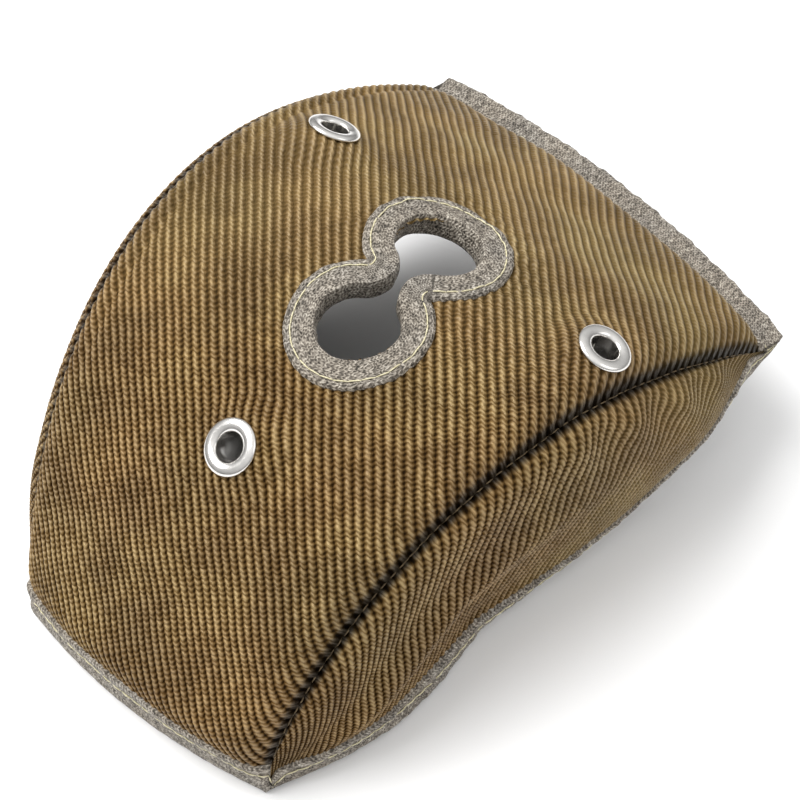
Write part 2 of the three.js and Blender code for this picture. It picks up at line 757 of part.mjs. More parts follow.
// Sewing thread that shows in the groove between two panels
function seamThread(side) {
  const steps = WALL_COLUMNS;
  const share = side === frontSide ? 0 : 1;
  const half = THREAD_THICKNESS / 2;
  const end = (RIM_TAPE_WIDTH + TAPE_THICKNESS) / side.length;
  const rings = [];
  for (let i = 0; i <= steps; i += 1) {
    const t = lerp(end, 1 - end, i / steps);
    const out = mitre(side, t).negate();
    const ahead = face.base(t + SLOPE_STEP, share).sub(face.base(t - SLOPE_STEP, share)).normalize();
    const sideways = out.clone().cross(ahead).normalize();
    const centre = face.base(t, share).addScaledVector(out, LAYER_GAP + half);
    const corner = (a, b) => {
      return centre.clone().addScaledVector(out, a * half).addScaledVector(sideways, b * half);
    };
    rings.push([corner(-1, -1), corner(1, -1), corner(1, 1), corner(-1, 1)]);
  }
  return rodFrom(rings);
}

// A rod whose cross-section is given at each station, capped at both ends
function rodFrom(rings) {
  const triangles = [];
  const count = rings[0].length;
  for (let i = 0; i < rings.length - 1; i += 1) {
    for (let j = 0; j < count; j += 1) {
      const k = (j + 1) % count;
      const [a, b] = [i * count + j, i * count + k];
      triangles.push([a, a + count, b + count], [a, b + count, b]);
    }
  }
  const end = (rings.length - 1) * count;
  for (let j = 1; j < count - 1; j += 1) {
    triangles.push([0, j, j + 1], [end, end + j + 1, end + j]);
  }
  return solidFrom(rings.flat(), triangles);
}

const group = new THREE.Group();

// Adds a solid to the object as a named mesh with its own material
function add(name, solid, color, roughness, metalness = 0) {
  const mesh = solid.getMesh();
  const geometry = new THREE.BufferGeometry();
  geometry.setAttribute('position', new THREE.BufferAttribute(mesh.vertProperties.slice(), 3));
  geometry.setIndex(new THREE.BufferAttribute(mesh.triVerts.slice(), 1));
  const material = new THREE.MeshStandardMaterial({ color, roughness, metalness });
  const part = new THREE.Mesh(geometry, material);
  part.name = name;
  group.add(part);
}

const edgeCutter = holeCutter(TAPE_GAP + TAPE_THICKNESS);
const faceCutters = [edgeCutter, ...seats.map(barrelCutter)];
const cutFace = (solid) => faceCutters.reduce((rest, cutter) => rest.subtract(cutter), solid);

add('outer_face_panel', cutFace(ribbedLayer(face, shellOuter, shellInner)), SHELL_COLOR, 0.75);
add('outer_front_panel', ribbedLayer(frontSide, shellOuter, shellInner), SHELL_COLOR, 0.75);
add('outer_rear_panel', ribbedLayer(rearSide, shellOuter, shellInner), SHELL_COLOR, 0.75);
add('face_fibre_mat', cutFace(plainLayer(face, matOuter, matInner)), MAT_COLOR, 0.95);
add('front_fibre_mat', plainLayer(frontSide, matOuter, matInner), MAT_COLOR, 0.95);
add('rear_fibre_mat', plainLayer(rearSide, matOuter, matInner), MAT_COLOR, 0.95);
add('face_lining', cutFace(plainLayer(face, liningOuter, liningInner)), LINING_COLOR, 0.6);
add('front_lining', plainLayer(frontSide, liningOuter, liningInner), LINING_COLOR, 0.6);
add('rear_lining', plainLayer(rearSide, liningOuter, liningInner), LINING_COLOR, 0.6);

const rim = rimStations();
const hole = holeStations(TAPE_GAP + TAPE_THICKNESS);
const rearHemStart = rim.length - rearSide.grid.length;
const isInnerBack = (j) => j === INNER_BACK || j === INNER_BACK + 1;
const splitRim = (i, j) => isInnerBack(j) !== (i >= rearHemStart);
add('rim_tape', ringFrom(rim.map(tapeSection), splitRim), TAPE_COLOR, 0.6, 0.3);
add('hole_tape', ringFrom(hole.map(tapeSection)), TAPE_COLOR, 0.6, 0.3);
add('rim_thread', ringFrom(rim.map(threadSection)), THREAD_COLOR, 0.8);
add('hole_thread', ringFrom(hole.map(threadSection)), THREAD_COLOR, 0.8);
add('front_seam_thread', seamThread(frontSide), THREAD_COLOR, 0.8);
add('rear_seam_thread', seamThread(rearSide), THREAD_COLOR, 0.8);
for (const seat of seats) {
  add(`${seat.name}_eyelet`, eyelet(seat), METAL_COLOR, 0.25, 1);
  add(`${seat.name}_eyelet_washer`, washer(seat), METAL_COLOR, 0.3, 1);
}

// The origin is the middle of the footprint, on the floor
const box = new THREE.Box3().setFromObject(group);
const middle = box.getCenter(new THREE.Vector3());
group.position.set(-middle.x, -middle.y, -box.min.z);

export default group;
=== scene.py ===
"""Looks for a turbo heat blanket: woven shell, knitted tape, stitching, lining and eyelets.

Sizes are millimetres in the frame that the blanket was drawn in, before it was centred on its
footprint. A place on a panel is t, along it from the low end to the raised end, and w, across it.
"""

import math

import bpy
import numpy as np
from mathutils import Matrix, Vector


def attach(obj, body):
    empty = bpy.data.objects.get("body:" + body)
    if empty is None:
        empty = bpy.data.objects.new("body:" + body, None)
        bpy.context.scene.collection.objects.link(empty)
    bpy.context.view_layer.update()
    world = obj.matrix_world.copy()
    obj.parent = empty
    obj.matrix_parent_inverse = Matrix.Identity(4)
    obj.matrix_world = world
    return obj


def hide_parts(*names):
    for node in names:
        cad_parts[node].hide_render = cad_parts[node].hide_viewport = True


MM = 0.001
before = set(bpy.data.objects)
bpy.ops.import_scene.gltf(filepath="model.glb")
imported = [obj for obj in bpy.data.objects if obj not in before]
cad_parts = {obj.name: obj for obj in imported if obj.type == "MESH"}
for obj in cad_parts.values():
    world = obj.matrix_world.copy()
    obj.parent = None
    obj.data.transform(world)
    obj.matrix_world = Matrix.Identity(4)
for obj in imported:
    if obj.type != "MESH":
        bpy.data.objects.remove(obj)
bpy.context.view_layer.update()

# Seams and hems, as in the solids
FRONT = {"reach": 187, "apex_at": 97, "apex": 67, "lip": 34, "fullness": 2.4, "steepness": 0.7, "fall": 1.6}
REAR = {"reach": 206, "apex_at": 108, "apex": 83, "lip": 44, "fullness": 2.2, "steepness": 0.8, "fall": 1.8}
REAR_SET_BACK = 82
REAR_SET_LEFT = 15
REAR_TURN = math.radians(15.4)
REAR_BOW = 14
REAR_BOW_LEAN = 0.7
FOOT_HEIGHT = 1.5
SIDE_TIP = 4
LOW_END_BOW = 4.5
RAISED_END_BOW = 7
BOW_FADE = 40
FRONT_KNEE_AT = 118
REAR_KNEE_AT = 125
KNEE_ROUND = 16
FRONT_FLARE = 7
FRONT_FLARE_AT = 36

# The tape at the raised end lies out flat, past the end of the padding
LIP_FLAT = 6.5
LIP_RISE = 0.12
LIP_OVERLAP = 2

# Padded fullness
SHOULDER_WIDTH = 7
FRONT_SHOULDER = 7
REAR_SHOULDER = 4
FACE_CROWN = 3
END_FADE = 16
SIDE_SHOULDER = 4
LOW_BELLY = 3
HIGH_BELLY = 8
REAR_BELLY = 4
BELLY_FADE = 40
BELLY_ROUNDNESS = 0.75
HIGH_BELLY_FROM = 0.3
HIGH_BELLY_RISE = 0.4
RAISED_END_FADE = 0.85

# Slow waves in the padding: turns along and across, and the start of each
PADDING_WAVES = (
    (0.061, 0.083, 0.4),
    (-0.043, 0.112, 1.9),
    (0.133, 0.027, 3.1),
    (0.094, -0.151, 5.0),
    (0.21, 0.17, 2.2),
)

# The groove beside the rear seam
GROOVE_DEPTH = 1.3
GROOVE_INSET = 6
GROOVE_WIDTH = 1.6
GROOVE_FROM = 0.2

# The face is drawn down and ripples round its sewn hole
DRAWN_DOWN = 0.9
DRAWN_REACH = 9
RIPPLE_HEIGHT = 0.35
RIPPLE_AT = 9
RIPPLE_SPREAD = 5
MAT_PRESSED = 0.15

# Folds in the side panels, and puckers below the front seam
FOLDS_AT = 0.3
FOLDS_SPREAD = 0.26
LONG_FOLD = 1.5
SHORT_FOLD = 0.6
SEAM_PUCKER = 1.6
SEAM_PUCKER_FROM = 0.45
REAR_FOLD = 0.8

# Layers
SHELL = 1.2
MAT = 4.5
MAT_SEWN = 1.5
MAT_FADE = 14
LINING = 0.8
LAYER_GAP = 0.3

# Weave
RIB_PITCH = 2.45
RIB_HEIGHT = 0.5
RIB_ROUNDNESS = 0.8
RIBS_UNDER_TAPE = 3
BEAD_PITCH = 1.45
FACE_RIB_ANGLE = math.radians(45)
SIDE_RIB_ANGLE = math.radians(55)
GRID_STEP = 0.62
LINING_STEP = 1.5
MAT_STEP = 2.0
MAT_MARGIN = 0.02
LINING_MARGIN = 0.015
SEAM_TUCK = [2.5, 1.2, 0.5]
FUZZ = 0.05
LINING_WRINKLE = 0.25

# How far a layer stays back from the hole's edge, and from the axis of an eyelet
WOVEN_OPENINGS = (0.9, 4.4)
MAT_OPENINGS = (2.5, 5.5)
LINING_OPENINGS = (4.0, 5.5)

# Tape, stitching and eyelets
RIM_TAPE_WIDTH = 10
HOLE_TAPE_WIDTH = 7.5
RIM_STITCH_INSET = 6.5
HOLE_STITCH_INSET = 5.5
TAPE_THICKNESS = 0.8
TAPE_REST = 0.35
STITCH_LENGTH = 3.5
STITCH_PITCH = 3.6
STITCH_RADIUS = 0.2
STITCH_ARCH = 0.3
STITCH_WANDER = 0.12
WALE_PITCH = 1.25
COURSE_PITCH = 1.05
LINING_PITCH = 1.1

# Where the tape stands further out: how far, at which share of the rim, and how spread
RIM_FLARES = ((2.2, 0.08, 0.08), (0.6, 0.57, 0.07), (1.2, 0.25, 0.08))
RIM_RUFFLE = 0.75
HOLE_RUFFLE = 0.4
RIM_NOSE = 1.5
HOLE_NOSE = 0.6
NOSE_STEPS = 9
NOSE_RUN = 4

# The tape's surface: puffed between its borders, dipped at its stitches and between its two tiers
TAPE_STEP = 0.7
TAPE_EDGE = 0.1
TAPE_LEAST = 0.15
TAPE_PUFF = 0.45
TAPE_PUFF_LEAST = 0.25
STITCH_DIP = 0.35
STITCH_DIP_WIDTH = 0.9
TIER_AT = 0.36
TIER_DIP = 0.4
TIER_DIP_WIDTH = 0.5
INNER_RUFFLE = 0.2
STITCH_SUNK = 0.2
SEAM_STITCH_SUNK = 0.3
SEAM_STITCH_FROM = 0.05
SEAM_STITCH_TO = 0.95
HOLE_ALONG = 133.5
HOLE_ACROSS = 55
HOLE_TURN = math.radians(7)
LOBE_RADIUS = 11.2
LOBE_SPACING = 32
NECK_WIDTH = 4.6
EYELET_BORE = 7.6
EYELET_FLANGE = 15
EYELET_WALL = 0.6
EYELET_LIP = 11.6
EYELET_FLANGE_HEIGHT = 1.3
EYELET_DOME = 1.2
EYELET_CURL = 0.3
EYELET_SEAT = 6.5
EYELET_SEAT_FADE = 9
SEAM_SEAT_FADE = 4
LATHE_SEGMENTS = 96

# Camera, found from the photograph's own perspective
CAMERA_AT = np.array([-101.3, -169.1, 384.5])
CAMERA_DOWN = math.radians(50)
CAMERA_AZIMUTH = math.radians(-40.8)
CAMERA_FOCAL_PIXELS = 1659
PHOTO_PIXELS = 800
SENSOR = 36

FLOOR_CLEARANCE = 0.05
FLOOR_HALF = 3.0

# The surroundings brighten from the horizon up
WORLD_AT_HORIZON = 0.2
WORLD_ABOVE = 1.0
WORLD_FULL_AT = 0.9


def smooth(distance, reach):
    x = np.clip(distance / reach, 0, 1)
    return x * x * (3 - 2 * x)


def roll(distance, width):
    left = 1 - np.clip(distance / width, 0, 1)
    return np.sqrt(np.maximum(1 - left * left, 0))


def unit(v):
    return v / np.maximum(np.linalg.norm(v, axis=-1, keepdims=True), 1e-12)


def mix(a, b, k):
    return a + (b - a) * np.asarray(k)[..., None]


class Line:
    """A curve in the XZ plane that can be asked for the point at a share of its length."""

    def __init__(self, points):
        self.points = np.asarray(points, float)
        steps = np.hypot(*np.diff(self.points, axis=0).T)
        self.lengths = np.r_[0, np.cumsum(steps)]
        self.length = self.lengths[-1]

    def at(self, t):
        s = np.clip(t, 0, 1) * self.length
        x = np.interp(s, self.lengths, self.points[:, 0])
        z = np.interp(s, self.lengths, self.points[:, 1])
        return np.stack([x, np.zeros_like(x), z], -1)


def seam_line(shape):
    u = np.linspace(0, 1, 1201)
    k = 1 - np.cos(np.minimum(u, 0.5) * math.pi)
    rise = (1 - (1 - k) ** shape["fullness"]) ** shape["steepness"]
    x = shape["apex_at"] * k
    z = FOOT_HEIGHT + (shape["apex"] - FOOT_HEIGHT) * rise
    f = np.clip(2 * u - 1, 0, 1)
    x = np.where(u < 0.5, x, shape["apex_at"] + (shape["reach"] - shape["apex_at"]) * f)
    run = (shape["reach"] - shape["apex_at"]) * (1 - f)
    fallen = np.clip(f / (1 - LIP_FLAT / (shape["reach"] - shape["apex_at"])), 0, 1) ** shape["fall"]
    z = np.where(u < 0.5, z, shape["apex"] - (shape["apex"] - shape["lip"]) * fallen)
    z = np.where(run < LIP_FLAT, shape["lip"] + LIP_RISE * (LIP_FLAT - run), z)
    return Line(np.c_[x, z])


def hem_line(knee_at, shape):
    start = np.array([SIDE_TIP, FOOT_HEIGHT])
    knee = np.array([knee_at, FOOT_HEIGHT])
    lip = np.array([shape["reach"], shape["lip"]], float)
    end = lip + unit(knee - lip) * SIDE_TIP
    before = knee + unit(start - knee) * KNEE_ROUND
    after = knee + unit(end - knee) * KNEE_ROUND
    k = np.linspace(0, 1, 41)[:, None]
    bend = before * (1 - k) ** 2 + knee * 2 * k * (1 - k) + after * k**2
    return Line(np.r_[[start], bend, [end]])


front_seam_line = seam_line(FRONT)
rear_seam_line = seam_line(REAR)
front_hem_line = hem_line(FRONT_KNEE_AT, FRONT)
rear_hem_line = hem_line(REAR_KNEE_AT, REAR)
FACE_LENGTH = (front_seam_line.length + rear_seam_line.length) / 2


def place_rear(p):
    share = np.clip(p[..., 0] / REAR["reach"], 0, 1)
    bow = REAR_BOW * np.sin(math.pi * share**REAR_BOW_LEAN)
    c, s = math.cos(REAR_TURN), math.sin(REAR_TURN)
    x = p[..., 0] * c - bow * s - REAR_SET_LEFT
    y = p[..., 0] * s + bow * c + REAR_SET_BACK
    return np.stack([x, y, p[..., 2]], -1)


def front_seam(t):
    return front_seam_line.at(t)


def rear_seam(t):
    return place_rear(rear_seam_line.at(t))


def front_hem(t):
    p = front_hem_line.at(t)
    p[..., 1] -= FRONT_FLARE * np.sin(math.pi * np.clip(p[..., 0] / (2 * FRONT_FLARE_AT), 0, 1))
    return p


def rear_hem(t):
    return place_rear(rear_hem_line.at(t))


def heading(curve, t, step=0.004):
    return unit(curve(np.minimum(t + step, 1)) - curve(np.maximum(t - step, 0)))


def undulation(x, y):
    """Slow waves in the padding, up to 1 either way."""
    total = sum(np.sin(a * x + b * y + c) for a, b, c in PADDING_WAVES)
    return total / len(PADDING_WAVES)


class Panel:
    """A padded wall ruled between two border curves."""

    def __init__(self, first, second, length):
        self.first = first
        self.second = second
        self.length = length

    def span(self, t):
        return np.linalg.norm(self.second(t) - self.first(t), axis=-1)

    def middle_span(self):
        return float(self.span(np.array(0.5)))

    def ruled(self, t, w):
        return mix(self.first(t), self.second(t), w)

    def wall(self, t, w, depth=0.0):
        """The point at a place of the wall, at a depth below its outer surface."""
        given = [np.asarray(value, float) for value in (t, w, depth)]
        t, w, depth = np.broadcast_arrays(*given)
        surface = self.base(t, w) + self.normal(t, w) * self.lift(t, w)[..., None]
        return surface + self.inward(t, w) * depth[..., None]

    def mat(self, t, w):
        span = self.span(t)
        edge = np.minimum(np.minimum(w, 1 - w) * span, np.minimum(t, 1 - t) * self.length)
        return MAT_SEWN + (MAT - MAT_SEWN) * smooth(edge, MAT_FADE) * self.fullness(t, w)

    def fullness(self, t, w):
        return 1.0

    def depth_inside(self, t, w):
        """Depth of the lining's inner face."""
        return SHELL + 2 * LAYER_GAP + LINING + self.mat(t, w)


class Face(Panel):
    def base(self, t, w):
        swell = 4 * w * (1 - w)
        low = LOW_END_BOW * swell * (1 - smooth(t * self.length, BOW_FADE))
        raised = RAISED_END_BOW * swell * (1 - smooth((1 - t) * self.length, BOW_FADE))
        p = self.ruled(t, w)
        p[..., 0] += raised - low
        return p

    def normal(self, t, w):
        ahead = heading(lambda place: self.base(place, w), t)
        return unit(np.cross(ahead, self.second(t) - self.first(t)))

    def lift(self, t, w):
        span = self.span(t)
        near_end = smooth((1 - t) * self.length - LIP_FLAT + LIP_OVERLAP, END_FADE)
        fade = smooth(t * self.length, END_FADE) * (1 + (near_end - 1) * RAISED_END_FADE)
        front = FRONT_SHOULDER * roll(w * span, SHOULDER_WIDTH) * (1 - w)
        rear = REAR_SHOULDER * roll((1 - w) * span, SHOULDER_WIDTH) * w
        waves = undulation(t * self.length, w * span) * np.minimum(1, 8 * w * (1 - w))
        beside_seam = np.exp(-np.square(((1 - w) * span - GROOVE_INSET) / GROOVE_WIDTH))
        groove = GROOVE_DEPTH * beside_seam * smooth(t - GROOVE_FROM, GROOVE_FROM)
        return fade * (front + rear + FACE_CROWN * 4 * w * (1 - w) + waves - groove) + self.puckers(t, w)

    def fullness(self, t, w):
        """The padding is pressed thin where the hole's tape is sewn through it."""
        hole = hole_distance(t * self.length, w * self.span(t))
        return MAT_PRESSED + (1 - MAT_PRESSED) * smooth(hole, 2 * HOLE_TAPE_WIDTH)

    def puckers(self, t, w):
        """The face is drawn down round the sewn hole, and ripples round it."""
        x, y = t * self.length, w * self.span(t)
        hole = hole_distance(x, y)
        down = DRAWN_DOWN * np.exp(-np.square(np.maximum(hole, 0) / DRAWN_REACH))
        ripples = RIPPLE_HEIGHT * np.exp(-np.square((hole - RIPPLE_AT) / RIPPLE_SPREAD))
        ripples = ripples * np.sin(0.9 * x + 0.5 * y)
        return ripples - down

    def inward(self, t, w):
        span = self.span(t)
        own = -self.normal(t, w)
        near_front = 1 - smooth(w * span, 2 * SHOULDER_WIDTH)
        near_rear = 1 - smooth((1 - w) * span, 2 * SHOULDER_WIDTH)
        own = mix(own, mitre(front_side, t), near_front)
        return unit(mix(own, mitre(rear_side, t), near_rear))


class Side(Panel):
    def base(self, t, w):
        return self.ruled(t, w)

    def full(self, t):
        return smooth(self.span(t) - SIDE_TIP, BELLY_FADE)

    def lift(self, t, w):
        span = self.span(t)
        shoulder = SIDE_SHOULDER * roll(w * span, SHOULDER_WIDTH) * (1 - w)
        belly = self.belly(t) * np.sin(math.pi * np.clip(w, 0, 1)) ** BELLY_ROUNDNESS
        return self.full(t) * (shoulder + belly + self.folds(t, w))

    def inward(self, t, w):
        near_seam = 1 - smooth(w * self.span(t), 2 * SHOULDER_WIDTH)
        return unit(mix(-self.normal(t, w), mitre(self, t), near_seam))


class FrontSide(Side):
    def normal(self, t, w):
        return np.broadcast_to(np.array([0.0, -1.0, 0.0]), np.shape(t) + (3,))

    def belly(self, t):
        return LOW_BELLY + (HIGH_BELLY - LOW_BELLY) * smooth(t - HIGH_BELLY_FROM, HIGH_BELLY_RISE)

    def folds(self, t, w):
        """Long shallow folds that run along the low half of the panel."""
        inside = np.sin(math.pi * np.clip(w, 0, 1)) * np.exp(-np.square((t - FOLDS_AT) / FOLDS_SPREAD))
        long_waves = LONG_FOLD * np.sin(2 * math.pi * (2.0 * w + 0.9 * t))
        short_waves = SHORT_FOLD * np.sin(25 * w + 9 * t)
        near_seam = np.exp(-np.square(w / 0.2)) * (1 - np.exp(-np.square(w / 0.06)))
        risen = smooth(t - SEAM_PUCKER_FROM, 0.2)
        puckers = SEAM_PUCKER * np.sin(0.31 * t * self.length) * near_seam * risen
        return inside * (long_waves + short_waves) + puckers


class RearSide(Side):
    def normal(self, t, w):
        ahead = heading(rear_hem, t)
        return unit(np.stack([-ahead[..., 1], ahead[..., 0], np.zeros_like(ahead[..., 0])], -1))

    def belly(self, t):
        return REAR_BELLY

    def folds(self, t, w):
        inside = np.sin(math.pi * np.clip(w, 0, 1))
        return REAR_FOLD * inside * undulation(t * self.length * 1.3, w * 90)


def mitre(side, t):
    """The way in along a seam, shared by the two panels that meet there."""
    seam_of_face = 0.0 if side is front_side else 1.0
    at_seam = np.full(np.shape(t), seam_of_face)
    return -unit(face.normal(t, at_seam) + side.normal(t, at_seam))


face = Face(front_seam, rear_seam, FACE_LENGTH)
front_side = FrontSide(front_seam, front_hem, front_seam_line.length)
rear_side = RearSide(rear_seam, rear_hem, rear_seam_line.length)
FACE_WIDTH = face.middle_span()

EYELETS = {
    "front": {"along": 157.5, "across": 9, "axis": (0.285, -0.266, 0.92)},
    "rear": {"along": 158, "across": 107.5, "axis": (0.446, 0.02, 0.888)},
    "low_end": {"along": 76, "across": 49.5, "axis": (-0.6, -0.02, 0.79)},
}
# The figure eight: two lobes joined by two small arcs
LOBE_HALF = LOBE_SPACING / 2
NECK_HALF = NECK_WIDTH / 2
FILLET = (LOBE_HALF**2 + NECK_HALF**2 - LOBE_RADIUS**2) / (2 * (LOBE_RADIUS - NECK_HALF))
FILLET_CENTRE = FILLET + NECK_HALF
MEET_ANGLE = math.atan2(FILLET_CENTRE, LOBE_HALF)


def face_place(along, across):
    t = along / FACE_LENGTH
    return t, across / float(face.span(np.array(t)))


def hole_local(x, y):
    """Millimetres along and across the face to the figure eight's own frame."""
    dx, dy = x - HOLE_ALONG, y - HOLE_ACROSS
    c, s = math.cos(HOLE_TURN), math.sin(HOLE_TURN)
    return dx * c + dy * s, -dx * s + dy * c


def hole_distance(x, y):
    """Distance outside the figure eight's outline, negative inside it."""
    lx, ly = hole_local(x, y)
    ax, ay = np.abs(lx), np.abs(ly)
    lobe = np.hypot(ax - LOBE_HALF, ay) - LOBE_RADIUS
    in_neck = np.arctan2(FILLET_CENTRE - ay, np.maximum(ax, 1e-9)) > MEET_ANGLE
    neck = FILLET - np.hypot(ax, ay - FILLET_CENTRE)
    return np.where(in_neck & (ax < LOBE_HALF), np.maximum(neck, -NECK_HALF), lobe)


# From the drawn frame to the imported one
PACKED_SHIFT = np.array([-88.54, -64.17, 0.25])


def make_mesh(name, points, faces, uvs=None, places=None):
    """A mesh object from points in millimetres, with its weave coordinates as a UV map."""
    mesh = bpy.data.meshes.new(name)
    mesh.vertices.add(len(points))
    placed = points + PACKED_SHIFT
    placed[:, 2] = np.maximum(placed[:, 2], FLOOR_CLEARANCE)
    mesh.vertices.foreach_set("co", (placed * MM).astype(np.float32).ravel())
    faces = np.asarray(faces, np.int32)
    mesh.loops.add(faces.size)
    mesh.loops.foreach_set("vertex_index", faces.ravel())
    mesh.polygons.add(len(faces))
    mesh.polygons.foreach_set("loop_start", np.arange(0, faces.size, faces.shape[1], dtype=np.int32))
    mesh.update(calc_edges=True)
    for layer_name, values in (("weave", uvs), ("place", places)):
        if values is not None:
            layer = mesh.uv_layers.new(name=layer_name)
            layer.data.foreach_set("uv", values[faces.ravel()].astype(np.float32).ravel())
    mesh.polygons.foreach_set("use_smooth", np.ones(len(faces), bool))
    mesh.validate()
    thing = bpy.data.objects.new(name, mesh)
    bpy.context.scene.collection.objects.link(thing)
    return thing


def grid_faces(rows, columns, keep=None, closed=False):
    i = np.arange(rows if closed else rows - 1)
    j = np.arange(columns - 1)
    a = (i[:, None] * columns + j[None, :]).ravel()
    b = (((i[:, None] + 1) % rows) * columns + j[None, :]).ravel()
    quads = np.stack([a, b, b + 1, a + 1], -1)
    return quads if keep is None else quads[keep.ravel()]


def dress(thing, material, slot, *nodes):
    thing.data.materials.append(material)
    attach(thing, "root")
    if nodes:
        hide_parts(*nodes)
    return thing


def grid_counts(panel, step):
    """Columns along a panel and rows across it."""
    return int(panel.length / step), int(panel.middle_span() / step)


def cloth_cells(T, W, openings):
    """Which cells of a grid on the face are cloth, and not hole or eyelet bore."""
    hole_margin, bore = openings
    t = (T[:-1, :-1] + T[1:, 1:]) / 2
    w = (W[:-1, :-1] + W[1:, 1:]) / 2
    x, y = t * FACE_LENGTH, w * face.span(t)
    cloth = hole_distance(x, y) > hole_margin
    for place in EYELETS.values():
        cloth &= np.hypot(x - place["along"], y - place["across"]) > bore
    return cloth


def weave_coordinates(panel, t, w):
    """Which rib a place is on, and how far along it, in beads."""
    if panel is face:
        angle, height = FACE_RIB_ANGLE, -FACE_WIDTH
    else:
        angle, height = SIDE_RIB_ANGLE, panel.middle_span()
    rib = (t * panel.length * math.sin(angle) + w * height * math.cos(angle)) / RIB_PITCH
    bead = (t * panel.length * math.cos(angle) - w * height * math.sin(angle)) / BEAD_PITCH
    return rib, bead


def seat_on_eyelets(points, t, w):
    """Bring the cloth up, or down, to the underside of each eyelet's flange."""
    x, y = t * FACE_LENGTH, w * face.span(t)
    surface = face.wall(t, w, 0.0)
    for name, place in EYELETS.items():
        away = np.hypot(x - place["along"], y - place["across"])
        near = 1 - smooth(away - EYELET_SEAT, EYELET_SEAT_FADE)
        near = near * smooth(np.minimum(y, face.span(t) - y), SEAM_SEAT_FADE)
        at, axis, top, _ = eyelet_seat(name)
        height = (surface - at) @ axis
        points = points + axis * ((top - EYELET_FLANGE_HEIGHT - height) * near)[..., None]
    return points


def eyelet_seat(name, node="eyelet"):
    """Where an eyelet sits, its axis, and the highest and lowest points of a piece of it."""
    place = EYELETS[name]
    axis = np.array(Vector(place["axis"]).normalized())
    t, w = face_place(place["along"], place["across"])
    at = face.wall(np.array(t), np.array(w), 0.0)
    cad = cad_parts[f"{name}_{node}"]
    middle = np.mean([np.array(v.co) / MM - PACKED_SHIFT for v in cad.data.vertices], axis=0)
    at = middle + axis * ((at - middle) @ axis)
    heights = [(np.array(v.co) / MM - PACKED_SHIFT - at) @ axis for v in cad.data.vertices]
    return at, axis, max(heights), min(heights)


def mat_panel(name, panel, node, material):
    """The padding of one panel: a closed body between the woven cloth and the lining."""
    columns, rows = grid_counts(panel, MAT_STEP)
    inset = 0.5 / panel.length
    t = np.linspace(inset, 1 - inset, columns)
    w = np.linspace(MAT_MARGIN, 1 - MAT_MARGIN, rows)
    T, W = np.meshgrid(t, w, indexing="ij")
    top = SHELL + LAYER_GAP
    outer = panel.wall(T, W, top)
    inner = panel.wall(T, W, top + panel.mat(T, W))
    if panel is face:
        outer, inner = seat_on_eyelets(outer, T, W), seat_on_eyelets(inner, T, W)
        keep = cloth_cells(T, W, MAT_OPENINGS)
    else:
        keep = np.ones((columns - 1, rows - 1), bool)
    under = columns * rows
    quads = grid_faces(columns, rows, keep)
    sides = np.concatenate([quads[:, [0, 1]], quads[:, [1, 2]], quads[:, [2, 3]], quads[:, [3, 0]]])
    _, which, count = np.unique(np.sort(sides, axis=1), axis=0, return_index=True, return_counts=True)
    border = sides[which[count == 1]]
    walls = np.stack([border[:, 1], border[:, 0], border[:, 0] + under, border[:, 1] + under], -1)
    faces = np.concatenate([quads, quads[:, ::-1] + under, walls])
    points = np.concatenate([outer.reshape(-1, 3), inner.reshape(-1, 3)])
    return dress(make_mesh(name, points, faces), material, "fibre_mat", node)


def woven_panel(name, panel, node, material):
    """The ribbed outer cloth of one panel, turned in along its seams."""
    columns, rows = grid_counts(panel, GRID_STEP)
    t = np.linspace(0, 1, columns)
    w = np.linspace(0, 1, rows)
    far_tuck = SEAM_TUCK[::-1] if panel is face else []
    at_w = np.r_[np.zeros(len(SEAM_TUCK)), w, np.ones(len(far_tuck))]
    sunk = np.r_[SEAM_TUCK, np.zeros(rows), far_tuck]
    T, W = np.meshgrid(t, at_w, indexing="ij")
    rib, bead = weave_coordinates(panel, T, W)
    crest = 0.5 + 0.5 * np.cos(2 * math.pi * rib)
    under_tape = np.minimum(T, 1 - T) * panel.length
    if panel is not face:
        under_tape = np.minimum(under_tape, (1 - W) * panel.span(T))
    ribbed = smooth(under_tape - RIM_TAPE_WIDTH + RIBS_UNDER_TAPE, RIBS_UNDER_TAPE)
    valley = RIB_HEIGHT * (1 - crest**RIB_ROUNDNESS) * ribbed
    fuzz = FUZZ * np.sin(5.1 * bead + 1.3 * rib) * ribbed
    points = panel.wall(T, W, valley + fuzz + sunk[None, :])
    keep = None
    if panel is face:
        points = seat_on_eyelets(points, T, W)
        keep = cloth_cells(T, W, WOVEN_OPENINGS)
    faces = grid_faces(columns, len(at_w), keep)
    uvs = np.stack([rib, bead], -1).reshape(-1, 2)
    places = np.stack([T, W], -1).reshape(-1, 2)
    thing = make_mesh(name, points.reshape(-1, 3), faces, uvs, places)
    return dress(thing, material, "woven_shell", node)


def lining_panel(name, panel, node, material):
    """The cloth on the inside of one panel."""
    columns, rows = grid_counts(panel, LINING_STEP)
    T, W = np.meshgrid(np.linspace(0, 1, columns), np.linspace(LINING_MARGIN, 1, rows), indexing="ij")
    wrinkle = LINING_WRINKLE * undulation(3.1 * T * panel.length, 2.7 * W * 100)
    points = panel.wall(T, W, panel.depth_inside(T, W) + wrinkle)
    keep = None
    if panel is face:
        points = seat_on_eyelets(points, T, W)
        keep = cloth_cells(T, W, LINING_OPENINGS)
    faces = grid_faces(columns, rows, keep)
    uvs = np.stack([T * panel.length, W * panel.span(T)], -1).reshape(-1, 2)
    thing = make_mesh(name, points.reshape(-1, 3), faces, uvs)
    return dress(thing, material, "lining", node)


